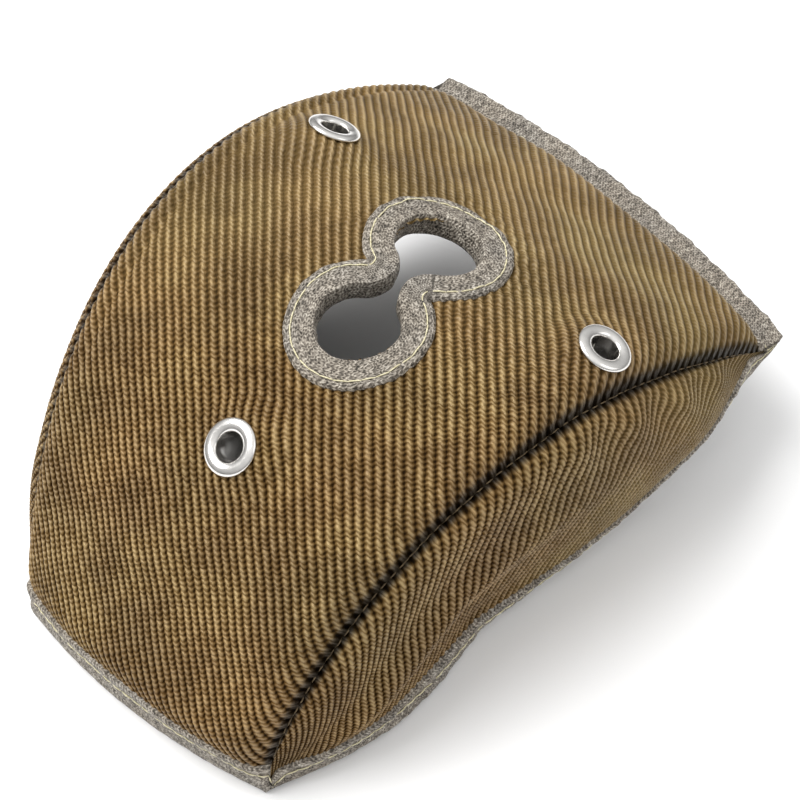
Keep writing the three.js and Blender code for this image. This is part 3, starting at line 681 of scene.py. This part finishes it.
class Ring:
    """A taped edge: stations that each know the wall's points in from the edge, and the way out."""

    def __init__(self, pieces):
        self.pieces = pieces
        self.counts = [len(piece(0.0, 0.0)) for piece in pieces]

    def wall(self, distance, depth):
        """The wall's points a distance in from the edge, at an outer (negative) or inner depth."""
        rows = []
        start = 0
        for piece, count in zip(self.pieces, self.counts):
            part = slice(start, start + count)
            given = (distance, depth)
            own = [value if np.ndim(value) == 0 else np.asarray(value)[part] for value in given]
            rows.append(piece(*own))
            start += count
        return np.concatenate(rows)

    def out(self):
        return unit(self.wall(0.0, 0.0) - self.wall(1.0, 0.0))


def edge_piece(panel, edge, border, width):
    """Stations between places on the edge and places on the tape's inner border."""
    (edge_t, edge_w), (border_t, border_w) = edge, border

    def points(distance, depth):
        k = np.asarray(distance) / width
        t = edge_t + (border_t - edge_t) * k
        w = edge_w + (border_w - edge_w) * k
        inside = panel.depth_inside(t, w)
        depth = np.where(np.asarray(depth) > 0, inside + depth, depth)
        return panel.wall(t, w, depth)

    return points


def rim_ring(step=0.9):
    pieces = []
    width = RIM_TAPE_WIDTH

    def face_end(edge, inset, forward):
        w = np.linspace(0, 1, int(FACE_WIDTH / step))[:: forward]
        pieces.append(edge_piece(face, (np.full_like(w, edge), w), (np.full_like(w, inset), w), width))

    def hem(side, forward):
        count = int(side.length / step)
        t = np.linspace(0, 1, count)[:: forward]
        border = np.maximum(1 - width / side.span(t), 0.15)
        pieces.append(edge_piece(side, (t, np.ones_like(t)), (t, border), width))

    share = width / FACE_LENGTH
    face_end(0.0, share, -1)
    hem(front_side, 1)
    face_end(1.0, 1 - share, 1)
    hem(rear_side, -1)
    return Ring(pieces)


def hole_outline(count):
    """Points of the figure eight and the directions out of it, in its own frame."""
    meet = MEET_ANGLE
    spots = []

    def lobe(side, start, end, steps):
        for angle in np.linspace(start, end, steps):
            c, s = math.cos(angle), math.sin(angle)
            spots.append((side * LOBE_HALF + c * LOBE_RADIUS, s * LOBE_RADIUS, c, s))

    def fillet(side, start, end, steps):
        for angle in np.linspace(start, end, steps + 2)[1:-1]:
            c, s = math.cos(angle), math.sin(angle)
            spots.append((c * FILLET, side * FILLET_CENTRE + s * FILLET, -c, -s))

    few = max(count // 16, 3)
    many = count // 2 - few
    lobe(1, meet - math.pi, math.pi - meet, many)
    fillet(1, -meet, meet - math.pi, few)
    lobe(-1, meet, 2 * math.pi - meet, many)
    fillet(-1, math.pi - meet, meet, few)
    return np.array(spots)


def hole_ring(count=260):
    spots = hole_outline(count)
    x, y, ox, oy = spots.T
    sign = np.where(x >= 0, 1, -1)
    room = np.where(ox * sign < 0, np.abs(x) / np.maximum(np.abs(ox), 1e-9), np.inf)
    reach = np.minimum(HOLE_TAPE_WIDTH, room)
    c, s = math.cos(HOLE_TURN), math.sin(HOLE_TURN)
    centre_t, centre_w = face_place(HOLE_ALONG, HOLE_ACROSS)

    def points(distance, depth):
        d = np.minimum(np.asarray(distance), reach)
        px, py = x + ox * d, y + oy * d
        t = centre_t + (px * c - py * s) / FACE_LENGTH
        w = centre_w + (px * s + py * c) / FACE_WIDTH
        inside = face.depth_inside(t, w)
        level = np.where(np.asarray(depth) > 0, inside + depth, depth)
        return face.wall(t, w, level)

    return Ring([points])


def tape(name, ring, width, node, material, ruffle, flare, nose_size):
    """A folded knitted tape: outer leg, nose round the edge, inner leg, with a ruffled surface."""
    edge = ring.wall(0.0, 0.0)
    count = len(edge)
    gaps = np.linalg.norm(edge - np.roll(edge, 1, axis=0), axis=-1)
    gaps[0] = 0
    run = np.cumsum(gaps)
    out = ring.out()
    top = TAPE_REST + TAPE_THICKNESS
    outer_edge = ring.wall(0.0, -top)
    inner_edge = ring.wall(0.0, top)
    sections = []
    across = []
    legs = np.linspace(width, 0, int(width / TAPE_STEP))

    def waves(distance, phase):
        a = np.sin(run * 0.9 + phase + distance * 0.6) + np.sin(run * 0.37 + 2 * phase)
        b = np.sin(run * 1.7 + distance + 3 * phase)
        return ruffle * (0.35 * a + 0.25 * b)

    def rest_at(distance):
        return top if distance < width - TAPE_EDGE else TAPE_REST

    sections.append(ring.wall(width, 0.1))
    across.append(-TAPE_THICKNESS)
    for d in legs:
        puff = TAPE_PUFF * math.sin(math.pi * min(d / width, 1)) + TAPE_PUFF_LEAST
        dip = STITCH_DIP * math.exp(-(((d - stitch_inset(width)) / STITCH_DIP_WIDTH) ** 2))
        dip += TIER_DIP * math.exp(-(((d - TIER_AT * width) / TIER_DIP_WIDTH) ** 2))
        level = -(rest_at(d) + (waves(d, 0.3) * puff) - dip)
        sections.append(ring.wall(d, np.minimum(level, -TAPE_LEAST)))
        across.append(width - d)
    turn = np.linspace(0, math.pi, NOSE_STEPS)[1:-1]
    for angle in turn:
        k = (1 - math.cos(angle)) / 2
        reach = (nose_size + waves(0.0, 1.1) + flare(run / run[-1])) * math.sin(angle)
        sections.append(mix(outer_edge, inner_edge, np.full(count, k)) + out * reach[:, None])
        across.append(width + NOSE_RUN * k)
    for d in legs[::-1]:
        sections.append(ring.wall(d, rest_at(d) + INNER_RUFFLE * waves(d, 2.0) + TAPE_LEAST))
        across.append(width + NOSE_RUN + d)
    sections.append(ring.wall(width, 0.05))
    across.append(2 * width + (NOSE_RUN + TAPE_THICKNESS))
    points = np.stack(sections, 1)
    columns = len(sections)
    faces = grid_faces(count, columns, closed=True)
    uvs = np.stack(np.broadcast_arrays(run[:, None], np.array(across)[None, :]), -1).reshape(-1, 2)
    thing = make_mesh(name, points.reshape(-1, 3), faces, uvs)
    return dress(thing, material, "knitted_tape", node)


def stitch_inset(width):
    return RIM_STITCH_INSET if width == RIM_TAPE_WIDTH else HOLE_STITCH_INSET


def stitches(name, lines, node, material):
    """Running stitches along closed or open lines: short arched threads that dip at their ends."""
    sides = 8
    steps = 7
    points = []
    faces = []
    for line, away in lines:
        lengths = np.r_[0, np.cumsum(np.linalg.norm(np.diff(line, axis=0), axis=-1))]
        count = int(lengths[-1] / STITCH_PITCH)
        for n in range(count):
            s = np.linspace(0, STITCH_LENGTH, steps) + n * STITCH_PITCH
            centre = np.stack([np.interp(s, lengths, line[:, k]) for k in range(3)], -1)
            up = unit(np.stack([np.interp(s, lengths, away[:, k]) for k in range(3)], -1))
            arch = np.sin(np.linspace(0.12, math.pi - 0.12, steps))
            wander = STITCH_WANDER * math.sin(7.3 * n)
            ahead = unit(np.gradient(centre, axis=0))
            sideways = unit(np.cross(up, ahead))
            centre = centre + up * (STITCH_ARCH * arch - STITCH_ARCH / 2)[:, None] + sideways * wander
            angle = np.linspace(0, 2 * math.pi, sides, endpoint=False)
            ring = np.cos(angle)[None, :, None] * up[:, None]
            ring = ring + np.sin(angle)[None, :, None] * sideways[:, None]
            thick = STITCH_RADIUS * (0.75 + 0.25 * arch)[:, None, None]
            start = len(points) * steps * sides
            points.append((centre[:, None] + ring * thick).reshape(-1, 3))
            i = np.arange(steps - 1)[:, None] * sides
            j = np.arange(sides)[None, :]
            k = (j + 1) % sides
            quads = np.stack(np.broadcast_arrays(i + j, i + sides + j, i + sides + k, i + k), -1)
            faces.append(quads.reshape(-1, 4) + start)
    thing = make_mesh(name, np.concatenate(points), np.concatenate(faces))
    return dress(thing, material, "thread", node)


def lathe(name, profile, seat, axis, material, slot, node):
    """A turned piece on an eyelet's seat."""
    profile = np.asarray(profile, float)
    turn = np.array(Vector((0, 0, 1)).rotation_difference(Vector(axis).normalized()).to_matrix())
    angle = np.linspace(0, 2 * math.pi, LATHE_SEGMENTS, endpoint=False)
    x = profile[None, :, 0] * np.cos(angle)[:, None]
    y = profile[None, :, 0] * np.sin(angle)[:, None]
    z = np.broadcast_to(profile[None, :, 1], x.shape)
    points = np.stack([x, y, z], -1).reshape(-1, 3) @ turn.T + seat
    count = len(profile)
    i = np.arange(LATHE_SEGMENTS)[:, None]
    j = np.arange(count)[None, :]
    following = (i + 1) % LATHE_SEGMENTS
    k = (j + 1) % count
    corners = (i * count + j, following * count + j, following * count + k, i * count + k)
    quads = np.stack(np.broadcast_arrays(*corners), -1)
    thing = make_mesh(name, points, quads.reshape(-1, 4))
    return dress(thing, material, slot, node)


class Shader:
    """A small helper that builds a node material."""

    def __init__(self, name):
        self.material = bpy.data.materials.new(name)
        self.material.use_nodes = True
        self.nodes = self.material.node_tree.nodes
        self.links = self.material.node_tree.links
        self.surface = self.nodes["Principled BSDF"]

    def link(self, source, target):
        self.links.new(source, target)

    def set(self, **values):
        for name, value in values.items():
            self.surface.inputs[name.replace("_", " ")].default_value = value

    def feed(self, node, position, value):
        if hasattr(value, "is_linked"):
            self.link(value, node.inputs[position])
        else:
            node.inputs[position].default_value = value

    def math(self, operation, a, b=0.0, c=0.0):
        node = self.nodes.new("ShaderNodeMath")
        node.operation = operation
        for position, value in enumerate((a, b, c)):
            self.feed(node, position, value)
        return node.outputs[0]

    def uv(self, name):
        node = self.nodes.new("ShaderNodeUVMap")
        node.uv_map = name
        split = self.nodes.new("ShaderNodeSeparateXYZ")
        self.link(node.outputs[0], split.inputs[0])
        return split.outputs[0], split.outputs[1]

    def position(self):
        return self.nodes.new("ShaderNodeTexCoord").outputs["Object"]

    def noise(self, vector, scale, detail=3.0, roughness=0.55):
        node = self.nodes.new("ShaderNodeTexNoise")
        node.inputs["Scale"].default_value = scale
        node.inputs["Detail"].default_value = detail
        node.inputs["Roughness"].default_value = roughness
        self.link(vector, node.inputs["Vector"])
        return node.outputs["Fac"]

    def vector(self, x, y, z=0.0):
        node = self.nodes.new("ShaderNodeCombineXYZ")
        for position, value in enumerate((x, y, z)):
            self.feed(node, position, value)
        return node.outputs[0]

    def ramp(self, factor, stops):
        node = self.nodes.new("ShaderNodeValToRGB")
        ramp = node.color_ramp
        while len(ramp.elements) < len(stops):
            ramp.elements.new(0.5)
        for element, (place, color) in zip(ramp.elements, stops):
            element.position = place
            element.color = (*color, 1)
        self.link(factor, node.inputs[0])
        return node.outputs[0]

    def blend(self, factor, a, b, mode="MIX"):
        node = self.nodes.new("ShaderNodeMix")
        node.data_type = "RGBA"
        node.blend_type = mode
        self.feed(node, 0, factor)
        for position, value in ((6, a), (7, b)):
            if hasattr(value, "is_linked"):
                self.link(value, node.inputs[position])
            else:
                node.inputs[position].default_value = (*value, 1)
        return node.outputs[2]

    def spread(self, value, low, high, to_low=0.0, to_high=1.0):
        node = self.nodes.new("ShaderNodeMapRange")
        node.interpolation_type = "SMOOTHSTEP"
        for position, number in ((1, low), (2, high), (3, to_low), (4, to_high)):
            node.inputs[position].default_value = number
        self.link(value, node.inputs[0])
        return node.outputs[0]

    def bump(self, height, distance, strength=1.0):
        node = self.nodes.new("ShaderNodeBump")
        node.inputs["Distance"].default_value = distance
        node.inputs["Strength"].default_value = strength
        self.link(height, node.inputs["Height"])
        self.link(node.outputs[0], self.surface.inputs["Normal"])


def woven_material():
    """Heavy twill of basalt yarn: beaded ribs, with painted shade in the gaps between them and painted
    highlights on the bead crests.
    """
    s = Shader("woven_basalt")
    rib, bead = s.uv("weave")
    t, w = s.uv("place")
    place = s.position()
    wobble = s.math("MULTIPLY", s.math("SUBTRACT", s.noise(place, 260), 0.5), 0.8)
    rib_at = s.math("ADD", rib, s.math("MULTIPLY", wobble, 0.35))
    bead_at = s.math("ADD", bead, wobble)
    two_pi = 2 * math.pi
    crest = s.math("MULTIPLY_ADD", s.math("COSINE", s.math("MULTIPLY", rib_at, two_pi)), 0.5, 0.5)
    slant = s.math("ADD", bead_at, s.math("MULTIPLY", rib_at, 0.5))
    sway = s.math("MULTIPLY", s.math("SINE", s.math("MULTIPLY", rib_at, two_pi)), 0.22)
    lean = s.math("ADD", slant, sway)
    beads = s.math("MULTIPLY_ADD", s.math("COSINE", s.math("MULTIPLY", lean, two_pi)), 0.5, 0.5)
    ridge = s.math("POWER", crest, 0.7)
    yarn = s.math("MULTIPLY", ridge, s.math("MULTIPLY_ADD", beads, 0.36, 0.64))
    weft = s.math("MULTIPLY", s.math("SUBTRACT", 1.0, crest), s.math("MULTIPLY", beads, 0.26))
    height = s.math("ADD", yarn, weft)
    # Painted highlight: toward the raised end, and more so toward the rear, the weave gets lighter valleys
    # and softer, paler ribs.
    far = s.spread(s.math("ADD", t, s.math("MULTIPLY", w, 0.3)), 0.5, 0.95)
    soft_height = s.math("MULTIPLY_ADD", s.math("POWER", crest, 3.0), 0.55, 0.4)
    drawn_out = s.vector(s.math("MULTIPLY", rib_at, 7.0), s.math("MULTIPLY", bead_at, 1.3))
    strands = s.noise(drawn_out, 1.0, 2.0)
    speckle = s.math("MULTIPLY", s.math("SUBTRACT", strands, 0.5), 0.35)
    # Painted glints: each bead gets a random brightness, added on the rib crests.
    cell = s.nodes.new("ShaderNodeTexWhiteNoise")
    bead_cell = s.vector(s.math("ROUND", rib_at), s.math("ROUND", lean))
    s.link(bead_cell, cell.inputs["Vector"])
    glint = s.math("MULTIPLY", s.math("SUBTRACT", cell.outputs["Value"], 0.5), 0.42)
    tone = s.math("ADD", s.math("ADD", height, speckle), s.math("MULTIPLY", glint, crest))
    soft_tone = s.math("ADD", soft_height, s.math("MULTIPLY", speckle, 0.4))
    # Painted shade and highlight: the ramp darkens the gaps and valleys between ribs and lightens the bead
    # crests, over the yarn's own brown.
    gap_shade = (0.016, 0.008, 0.002)
    valley_brown = (0.085, 0.048, 0.016)
    yarn_brown = (0.195, 0.12, 0.043)
    bead_highlight = (0.38, 0.265, 0.12)
    near_stops = [(0.08, gap_shade), (0.32, valley_brown), (0.62, yarn_brown), (1.0, bead_highlight)]
    near_color = s.ramp(tone, near_stops)
    soft_valley = (0.125, 0.085, 0.034)
    soft_brown = (0.2, 0.14, 0.06)
    soft_ridge_highlight = (0.4, 0.305, 0.16)
    far_highlight_color = s.ramp(soft_tone, [(0.25, soft_valley), (0.6, soft_brown), (1.0, soft_ridge_highlight)])
    color = s.blend(s.math("MULTIPLY", far, 0.85), near_color, far_highlight_color)
    patches = s.spread(s.noise(place, 28, 2.0), 0.38, 0.66)
    rusty = (0.58, 0.38, 0.16)
    olive = (0.46, 0.46, 0.28)
    color = s.blend(0.2, color, s.blend(patches, rusty, olive), "OVERLAY")
    shade = s.spread(s.noise(place, 55, 3.0), 0.3, 0.7, 0.74, 1.16)
    color = s.blend(1.0, color, s.vector(shade, shade, shade), "MULTIPLY")
    seam_shade = s.spread(s.math("MINIMUM", w, s.math("SUBTRACT", 1.0, w)), 0.002, 0.014, 0.08, 1.0)
    color = s.blend(1.0, color, s.vector(seam_shade, seam_shade, seam_shade), "MULTIPLY")
    s.link(color, s.surface.inputs["Base Color"])
    s.set(Roughness=0.5)
    s.link(s.spread(tone, 0.3, 0.9, 0.02, 0.5), s.surface.inputs["Specular IOR Level"])
    s.bump(tone, 0.0007, 0.9)
    return s.material


def tape_material():
    """Knitted grey tape: rows of small loops, with painted shade in the holes between them."""
    s = Shader("knitted_tape")
    along, across = s.uv("weave")
    place = s.position()
    wobble = s.math("MULTIPLY", s.math("SUBTRACT", s.noise(place, 420, 2.0), 0.5), 2.6)
    wale_at = s.math("ADD", across, s.math("MULTIPLY", wobble, 0.35))
    wales = s.math("MULTIPLY", wale_at, 2 * math.pi / WALE_PITCH)
    courses = s.math("MULTIPLY", s.math("ADD", along, wobble), 2 * math.pi / COURSE_PITCH)
    bend = s.math("ADD", courses, s.math("MULTIPLY", s.math("SINE", wales), 1.5))
    loops = s.math("MULTIPLY_ADD", s.math("SINE", bend), 0.5, 0.5)
    columns = s.math("MULTIPLY_ADD", s.math("COSINE", s.math("MULTIPLY", wales, 2.0)), 0.35, 0.5)
    height = s.math("MULTIPLY_ADD", loops, 0.6, s.math("MULTIPLY", columns, 0.45))
    grain = s.noise(place, 1900, 3.0)
    clumps = s.noise(place, 620, 2.0)
    fine = s.math("MULTIPLY", s.math("SUBTRACT", grain, 0.5), 0.9)
    rough = s.math("ADD", fine, s.math("SUBTRACT", clumps, 0.5))
    tone = s.math("ADD", s.math("MULTIPLY_ADD", height, 0.6, 0.22), rough)
    # Painted shade: the ramp runs from near-black holes through shaded hollows to the loops' own grey.
    hollow_shade = (0.03, 0.026, 0.02)
    shaded = (0.14, 0.122, 0.1)
    strand = (0.33, 0.298, 0.255)
    bright = (0.66, 0.62, 0.55)
    color = s.ramp(tone, [(0.12, hollow_shade), (0.4, shaded), (0.66, strand), (1.0, bright)])
    warm = s.spread(s.noise(place, 60, 2.0), 0.35, 0.7)
    color = s.blend(warm, s.blend(0.16, color, (0.52, 0.42, 0.28), "OVERLAY"), color)
    s.link(color, s.surface.inputs["Base Color"])
    s.set(Roughness=0.58, Metallic=0.12)
    s.bump(tone, 0.0005, 0.9)
    return s.material


def thread_material(name, dark, light, roughness):
    """Twisted thread."""
    s = Shader(name)
    strands = s.noise(s.position(), 1500, 2.0)
    color = s.ramp(strands, [(0.3, dark), (0.7, light)])
    s.link(color, s.surface.inputs["Base Color"])
    s.set(Roughness=roughness)
    s.bump(strands, 0.0001, 0.6)
    return s.material


def lining_material():
    """Grey inner cloth, plainly woven."""
    s = Shader("lining_cloth")
    along, across = s.uv("weave")
    place = s.position()
    a = s.math("SINE", s.math("MULTIPLY", along, 2 * math.pi / LINING_PITCH))
    b = s.math("SINE", s.math("MULTIPLY", across, 2 * math.pi / LINING_PITCH))
    height = s.math("MULTIPLY_ADD", s.math("MULTIPLY", a, b), 0.5, 0.5)
    patches = s.noise(place, 45, 4.0)
    tone = s.math("ADD", s.math("MULTIPLY", height, 0.35), s.math("MULTIPLY", patches, 0.65))
    color = s.ramp(tone, [(0.25, (0.1, 0.095, 0.088)), (0.75, (0.26, 0.25, 0.235))])
    s.link(color, s.surface.inputs["Base Color"])
    s.set(Roughness=0.6, Metallic=0.2)
    s.bump(height, 0.0003, 0.6)
    return s.material


def mat_material():
    """Pale mineral fibres."""
    s = Shader("fibre_mat")
    fibres = s.noise(s.position(), 900, 5.0, 0.7)
    color = s.ramp(fibres, [(0.3, (0.55, 0.52, 0.45)), (0.7, (0.85, 0.83, 0.77))])
    s.link(color, s.surface.inputs["Base Color"])
    s.set(Roughness=0.95)
    s.bump(fibres, 0.0006, 0.8)
    return s.material


def metal_material():
    """Polished metal with a light haze."""
    s = Shader("eyelet_metal")
    place = s.position()
    haze = s.noise(place, 700, 4.0)
    color = s.ramp(haze, [(0.3, (0.76, 0.74, 0.71)), (0.7, (0.82, 0.8, 0.77))])
    s.link(color, s.surface.inputs["Base Color"])
    s.link(s.spread(haze, 0.3, 0.7, 0.17, 0.22), s.surface.inputs["Roughness"])
    s.set(Metallic=1.0)
    return s.material


def floor_material():
    """Nearly white floor."""
    s = Shader("pale_floor")
    grain = s.noise(s.position(), 3.0, 2.0)
    color = s.ramp(grain, [(0.0, (0.955, 0.955, 0.955)), (1.0, (0.975, 0.975, 0.975))])
    s.link(color, s.surface.inputs["Base Color"])
    s.set(Roughness=0.9)
    return s.material


woven = woven_material()
knitted = tape_material()
cream = thread_material("stitch_thread", (0.52, 0.46, 0.27), (0.86, 0.8, 0.56), 0.55)
# The seam thread is drawn dark: its own brown plus painted shade of the groove it lies in.
shaded_seam_thread = thread_material("seam_thread", (0.07, 0.045, 0.02), (0.2, 0.14, 0.07), 0.7)
lining_cloth = lining_material()
mat_felt = mat_material()
metal = metal_material()

woven_face = woven_panel("woven_face", face, "outer_face_panel", woven)
woven_front = woven_panel("woven_front", front_side, "outer_front_panel", woven)
woven_rear = woven_panel("woven_rear", rear_side, "outer_rear_panel", woven)
face_padding = mat_panel("face_padding", face, "face_fibre_mat", mat_felt)
front_padding = mat_panel("front_padding", front_side, "front_fibre_mat", mat_felt)
rear_padding = mat_panel("rear_padding", rear_side, "rear_fibre_mat", mat_felt)
lining_face = lining_panel("lining_over_face", face, "face_lining", lining_cloth)
lining_front = lining_panel("lining_over_front", front_side, "front_lining", lining_cloth)
lining_rear = lining_panel("lining_over_rear", rear_side, "rear_lining", lining_cloth)

rim = rim_ring()
hole = hole_ring()


def rim_flare(share):
    """The tape stands further out along both ends and along the low half of the front hem."""
    return sum(size * np.exp(-np.square((share - at) / spread)) for size, at, spread in RIM_FLARES)


def no_flare(share):
    return 0 * share


tape("rim_band", rim, RIM_TAPE_WIDTH, "rim_tape", knitted, RIM_RUFFLE, rim_flare, RIM_NOSE)
tape("hole_band", hole, HOLE_TAPE_WIDTH, "hole_tape", knitted, HOLE_RUFFLE, no_flare, HOLE_NOSE)


def stitch_line(ring, width):
    inset = stitch_inset(width)
    line = ring.wall(inset, -(TAPE_REST + TAPE_THICKNESS - STITCH_SUNK))
    deeper = ring.wall(inset, -0.1)
    return line, unit(line - deeper)


stitches("rim_stitches", [stitch_line(rim, RIM_TAPE_WIDTH)], "rim_thread", cream)
stitches("hole_stitches", [stitch_line(hole, HOLE_TAPE_WIDTH)], "hole_thread", cream)


def seam_stitches(name, side, node):
    t = np.linspace(SEAM_STITCH_FROM, SEAM_STITCH_TO, 300)
    share = np.full_like(t, 0.0 if side is front_side else 1.0)
    out = -mitre(side, t)
    line = face.base(t, share) - out * SEAM_STITCH_SUNK
    stitches(name, [(line, out)], node, shaded_seam_thread)


seam_stitches("front_seam_stitches", front_side, "front_seam_thread")
seam_stitches("rear_seam_stitches", rear_side, "rear_seam_thread")


def eyelet_pieces(name):
    """The pressed eyelet and the washer behind the lining, sized from the CAD pieces they replace."""
    seat, axis, top, bottom = eyelet_seat(name)
    rim_radius = EYELET_FLANGE / 2
    bore = EYELET_BORE / 2
    barrel = bore + EYELET_WALL
    k = np.linspace(0, math.pi, 15)
    middle = (rim_radius + bore) / 2
    half = (rim_radius - bore) / 2
    dome = [(middle + half * math.cos(a), top - EYELET_DOME + EYELET_DOME * math.sin(a) ** 0.8) for a in k]
    lip = EYELET_LIP / 2
    curl = [
        (bore, bottom + EYELET_CURL),
        (bore + EYELET_CURL, bottom),
        (lip - EYELET_CURL, bottom),
        (lip, bottom + EYELET_CURL),
        (lip - 0.2, bottom + 2 * EYELET_CURL),
    ]
    profile = [(rim_radius - 0.4, top - 1.4), *dome, (bore, top - 3), *curl]
    profile += [(barrel, bottom + 2 * EYELET_CURL), (barrel, top - 1.4)]
    lathe(f"{name}_pressed_eyelet", profile, seat, axis, metal, "eyelet_metal", f"{name}_eyelet")
    seat, axis, high, low = eyelet_seat(name, "eyelet_washer")
    inside = barrel + 0.3
    ring = [(inside, low), (rim_radius - 0.2, low), (rim_radius, low + 0.2)]
    ring += [(rim_radius, high), (inside, high)]
    lathe(f"{name}_back_washer", ring, seat, axis, metal, "eyelet_metal", f"{name}_eyelet_washer")


for eyelet_name in EYELETS:
    eyelet_pieces(eyelet_name)


def cloth_size(panel):
    return panel.length * MM, panel.middle_span() * MM


def cloth_area(panel):
    t = np.linspace(0, 1, 200)
    return float(np.trapz(panel.span(t), t) * panel.length) * MM * MM


def floor():
    half = FLOOR_HALF
    corners = [(-half, -half, 0), (half, -half, 0), (half, half, 0), (-half, half, 0)]
    mesh = bpy.data.meshes.new("floor")
    mesh.from_pydata(corners, [], [(0, 1, 2, 3)])
    mesh.materials.append(floor_material())
    thing = bpy.data.objects.new("floor", mesh)
    bpy.context.scene.collection.objects.link(thing)


def area_light(name, at, size, power):
    data = bpy.data.lights.new(name, "AREA")
    data.size = size
    data.energy = power
    thing = bpy.data.objects.new(name, data)
    thing.location = at
    thing.rotation_euler = (Vector((0, 0, 0.04)) - Vector(at)).to_track_quat("-Z", "Y").to_euler()
    bpy.context.scene.collection.objects.link(thing)


def lights():
    area_light("key", at=(-0.4, 0.62, 1.25), size=1.0, power=20)
    area_light("fill", at=(0.5, -1.0, 0.9), size=0.9, power=2.0)
    world = bpy.data.worlds.new("studio")
    world.use_nodes = True
    background = world.node_tree.nodes["Background"]
    nodes, links = world.node_tree.nodes, world.node_tree.links
    split = nodes.new("ShaderNodeSeparateXYZ")
    links.new(nodes.new("ShaderNodeTexCoord").outputs["Generated"], split.inputs[0])
    rise = nodes.new("ShaderNodeMapRange")
    for position, number in ((1, 0.0), (2, WORLD_FULL_AT), (3, WORLD_AT_HORIZON), (4, WORLD_ABOVE)):
        rise.inputs[position].default_value = number
    links.new(split.outputs[2], rise.inputs[0])
    background.inputs["Color"].default_value = (1, 1, 1, 1)
    links.new(rise.outputs[0], background.inputs["Strength"])
    bpy.context.scene.world = world


def camera():
    a, e = CAMERA_AZIMUTH, CAMERA_DOWN
    ahead = np.array([-math.sin(a) * math.cos(e), math.cos(a) * math.cos(e), -math.sin(e)])
    right = np.array([math.cos(a), math.sin(a), 0.0])
    up = np.cross(right, ahead)
    data = bpy.data.cameras.new("camera")
    data.sensor_width = SENSOR
    data.lens = CAMERA_FOCAL_PIXELS / PHOTO_PIXELS * SENSOR
    data.clip_start = 0.01
    thing = bpy.data.objects.new("camera", data)
    place = Matrix.Identity(4)
    for row in range(3):
        place[row][0] = right[row]
        place[row][1] = up[row]
        place[row][2] = -ahead[row]
        place[row][3] = (CAMERA_AT[row] + PACKED_SHIFT[row]) * MM
    thing.matrix_world = place
    bpy.context.scene.collection.objects.link(thing)
    bpy.context.scene.camera = thing


floor()
lights()
camera()
bpy.context.scene.view_settings.view_transform = "Standard"
bpy.context.scene.view_settings.look = "None"

layers = (
    (face, face_padding, woven_face, lining_face),
    (front_side, front_padding, woven_front, lining_front),
    (rear_side, rear_padding, woven_rear, lining_rear),
)
for panel, padding, woven_cloth, lining_piece in layers:
    for cloth in (woven_cloth, lining_piece):
        cloth_size(panel)
        cloth_area(panel)
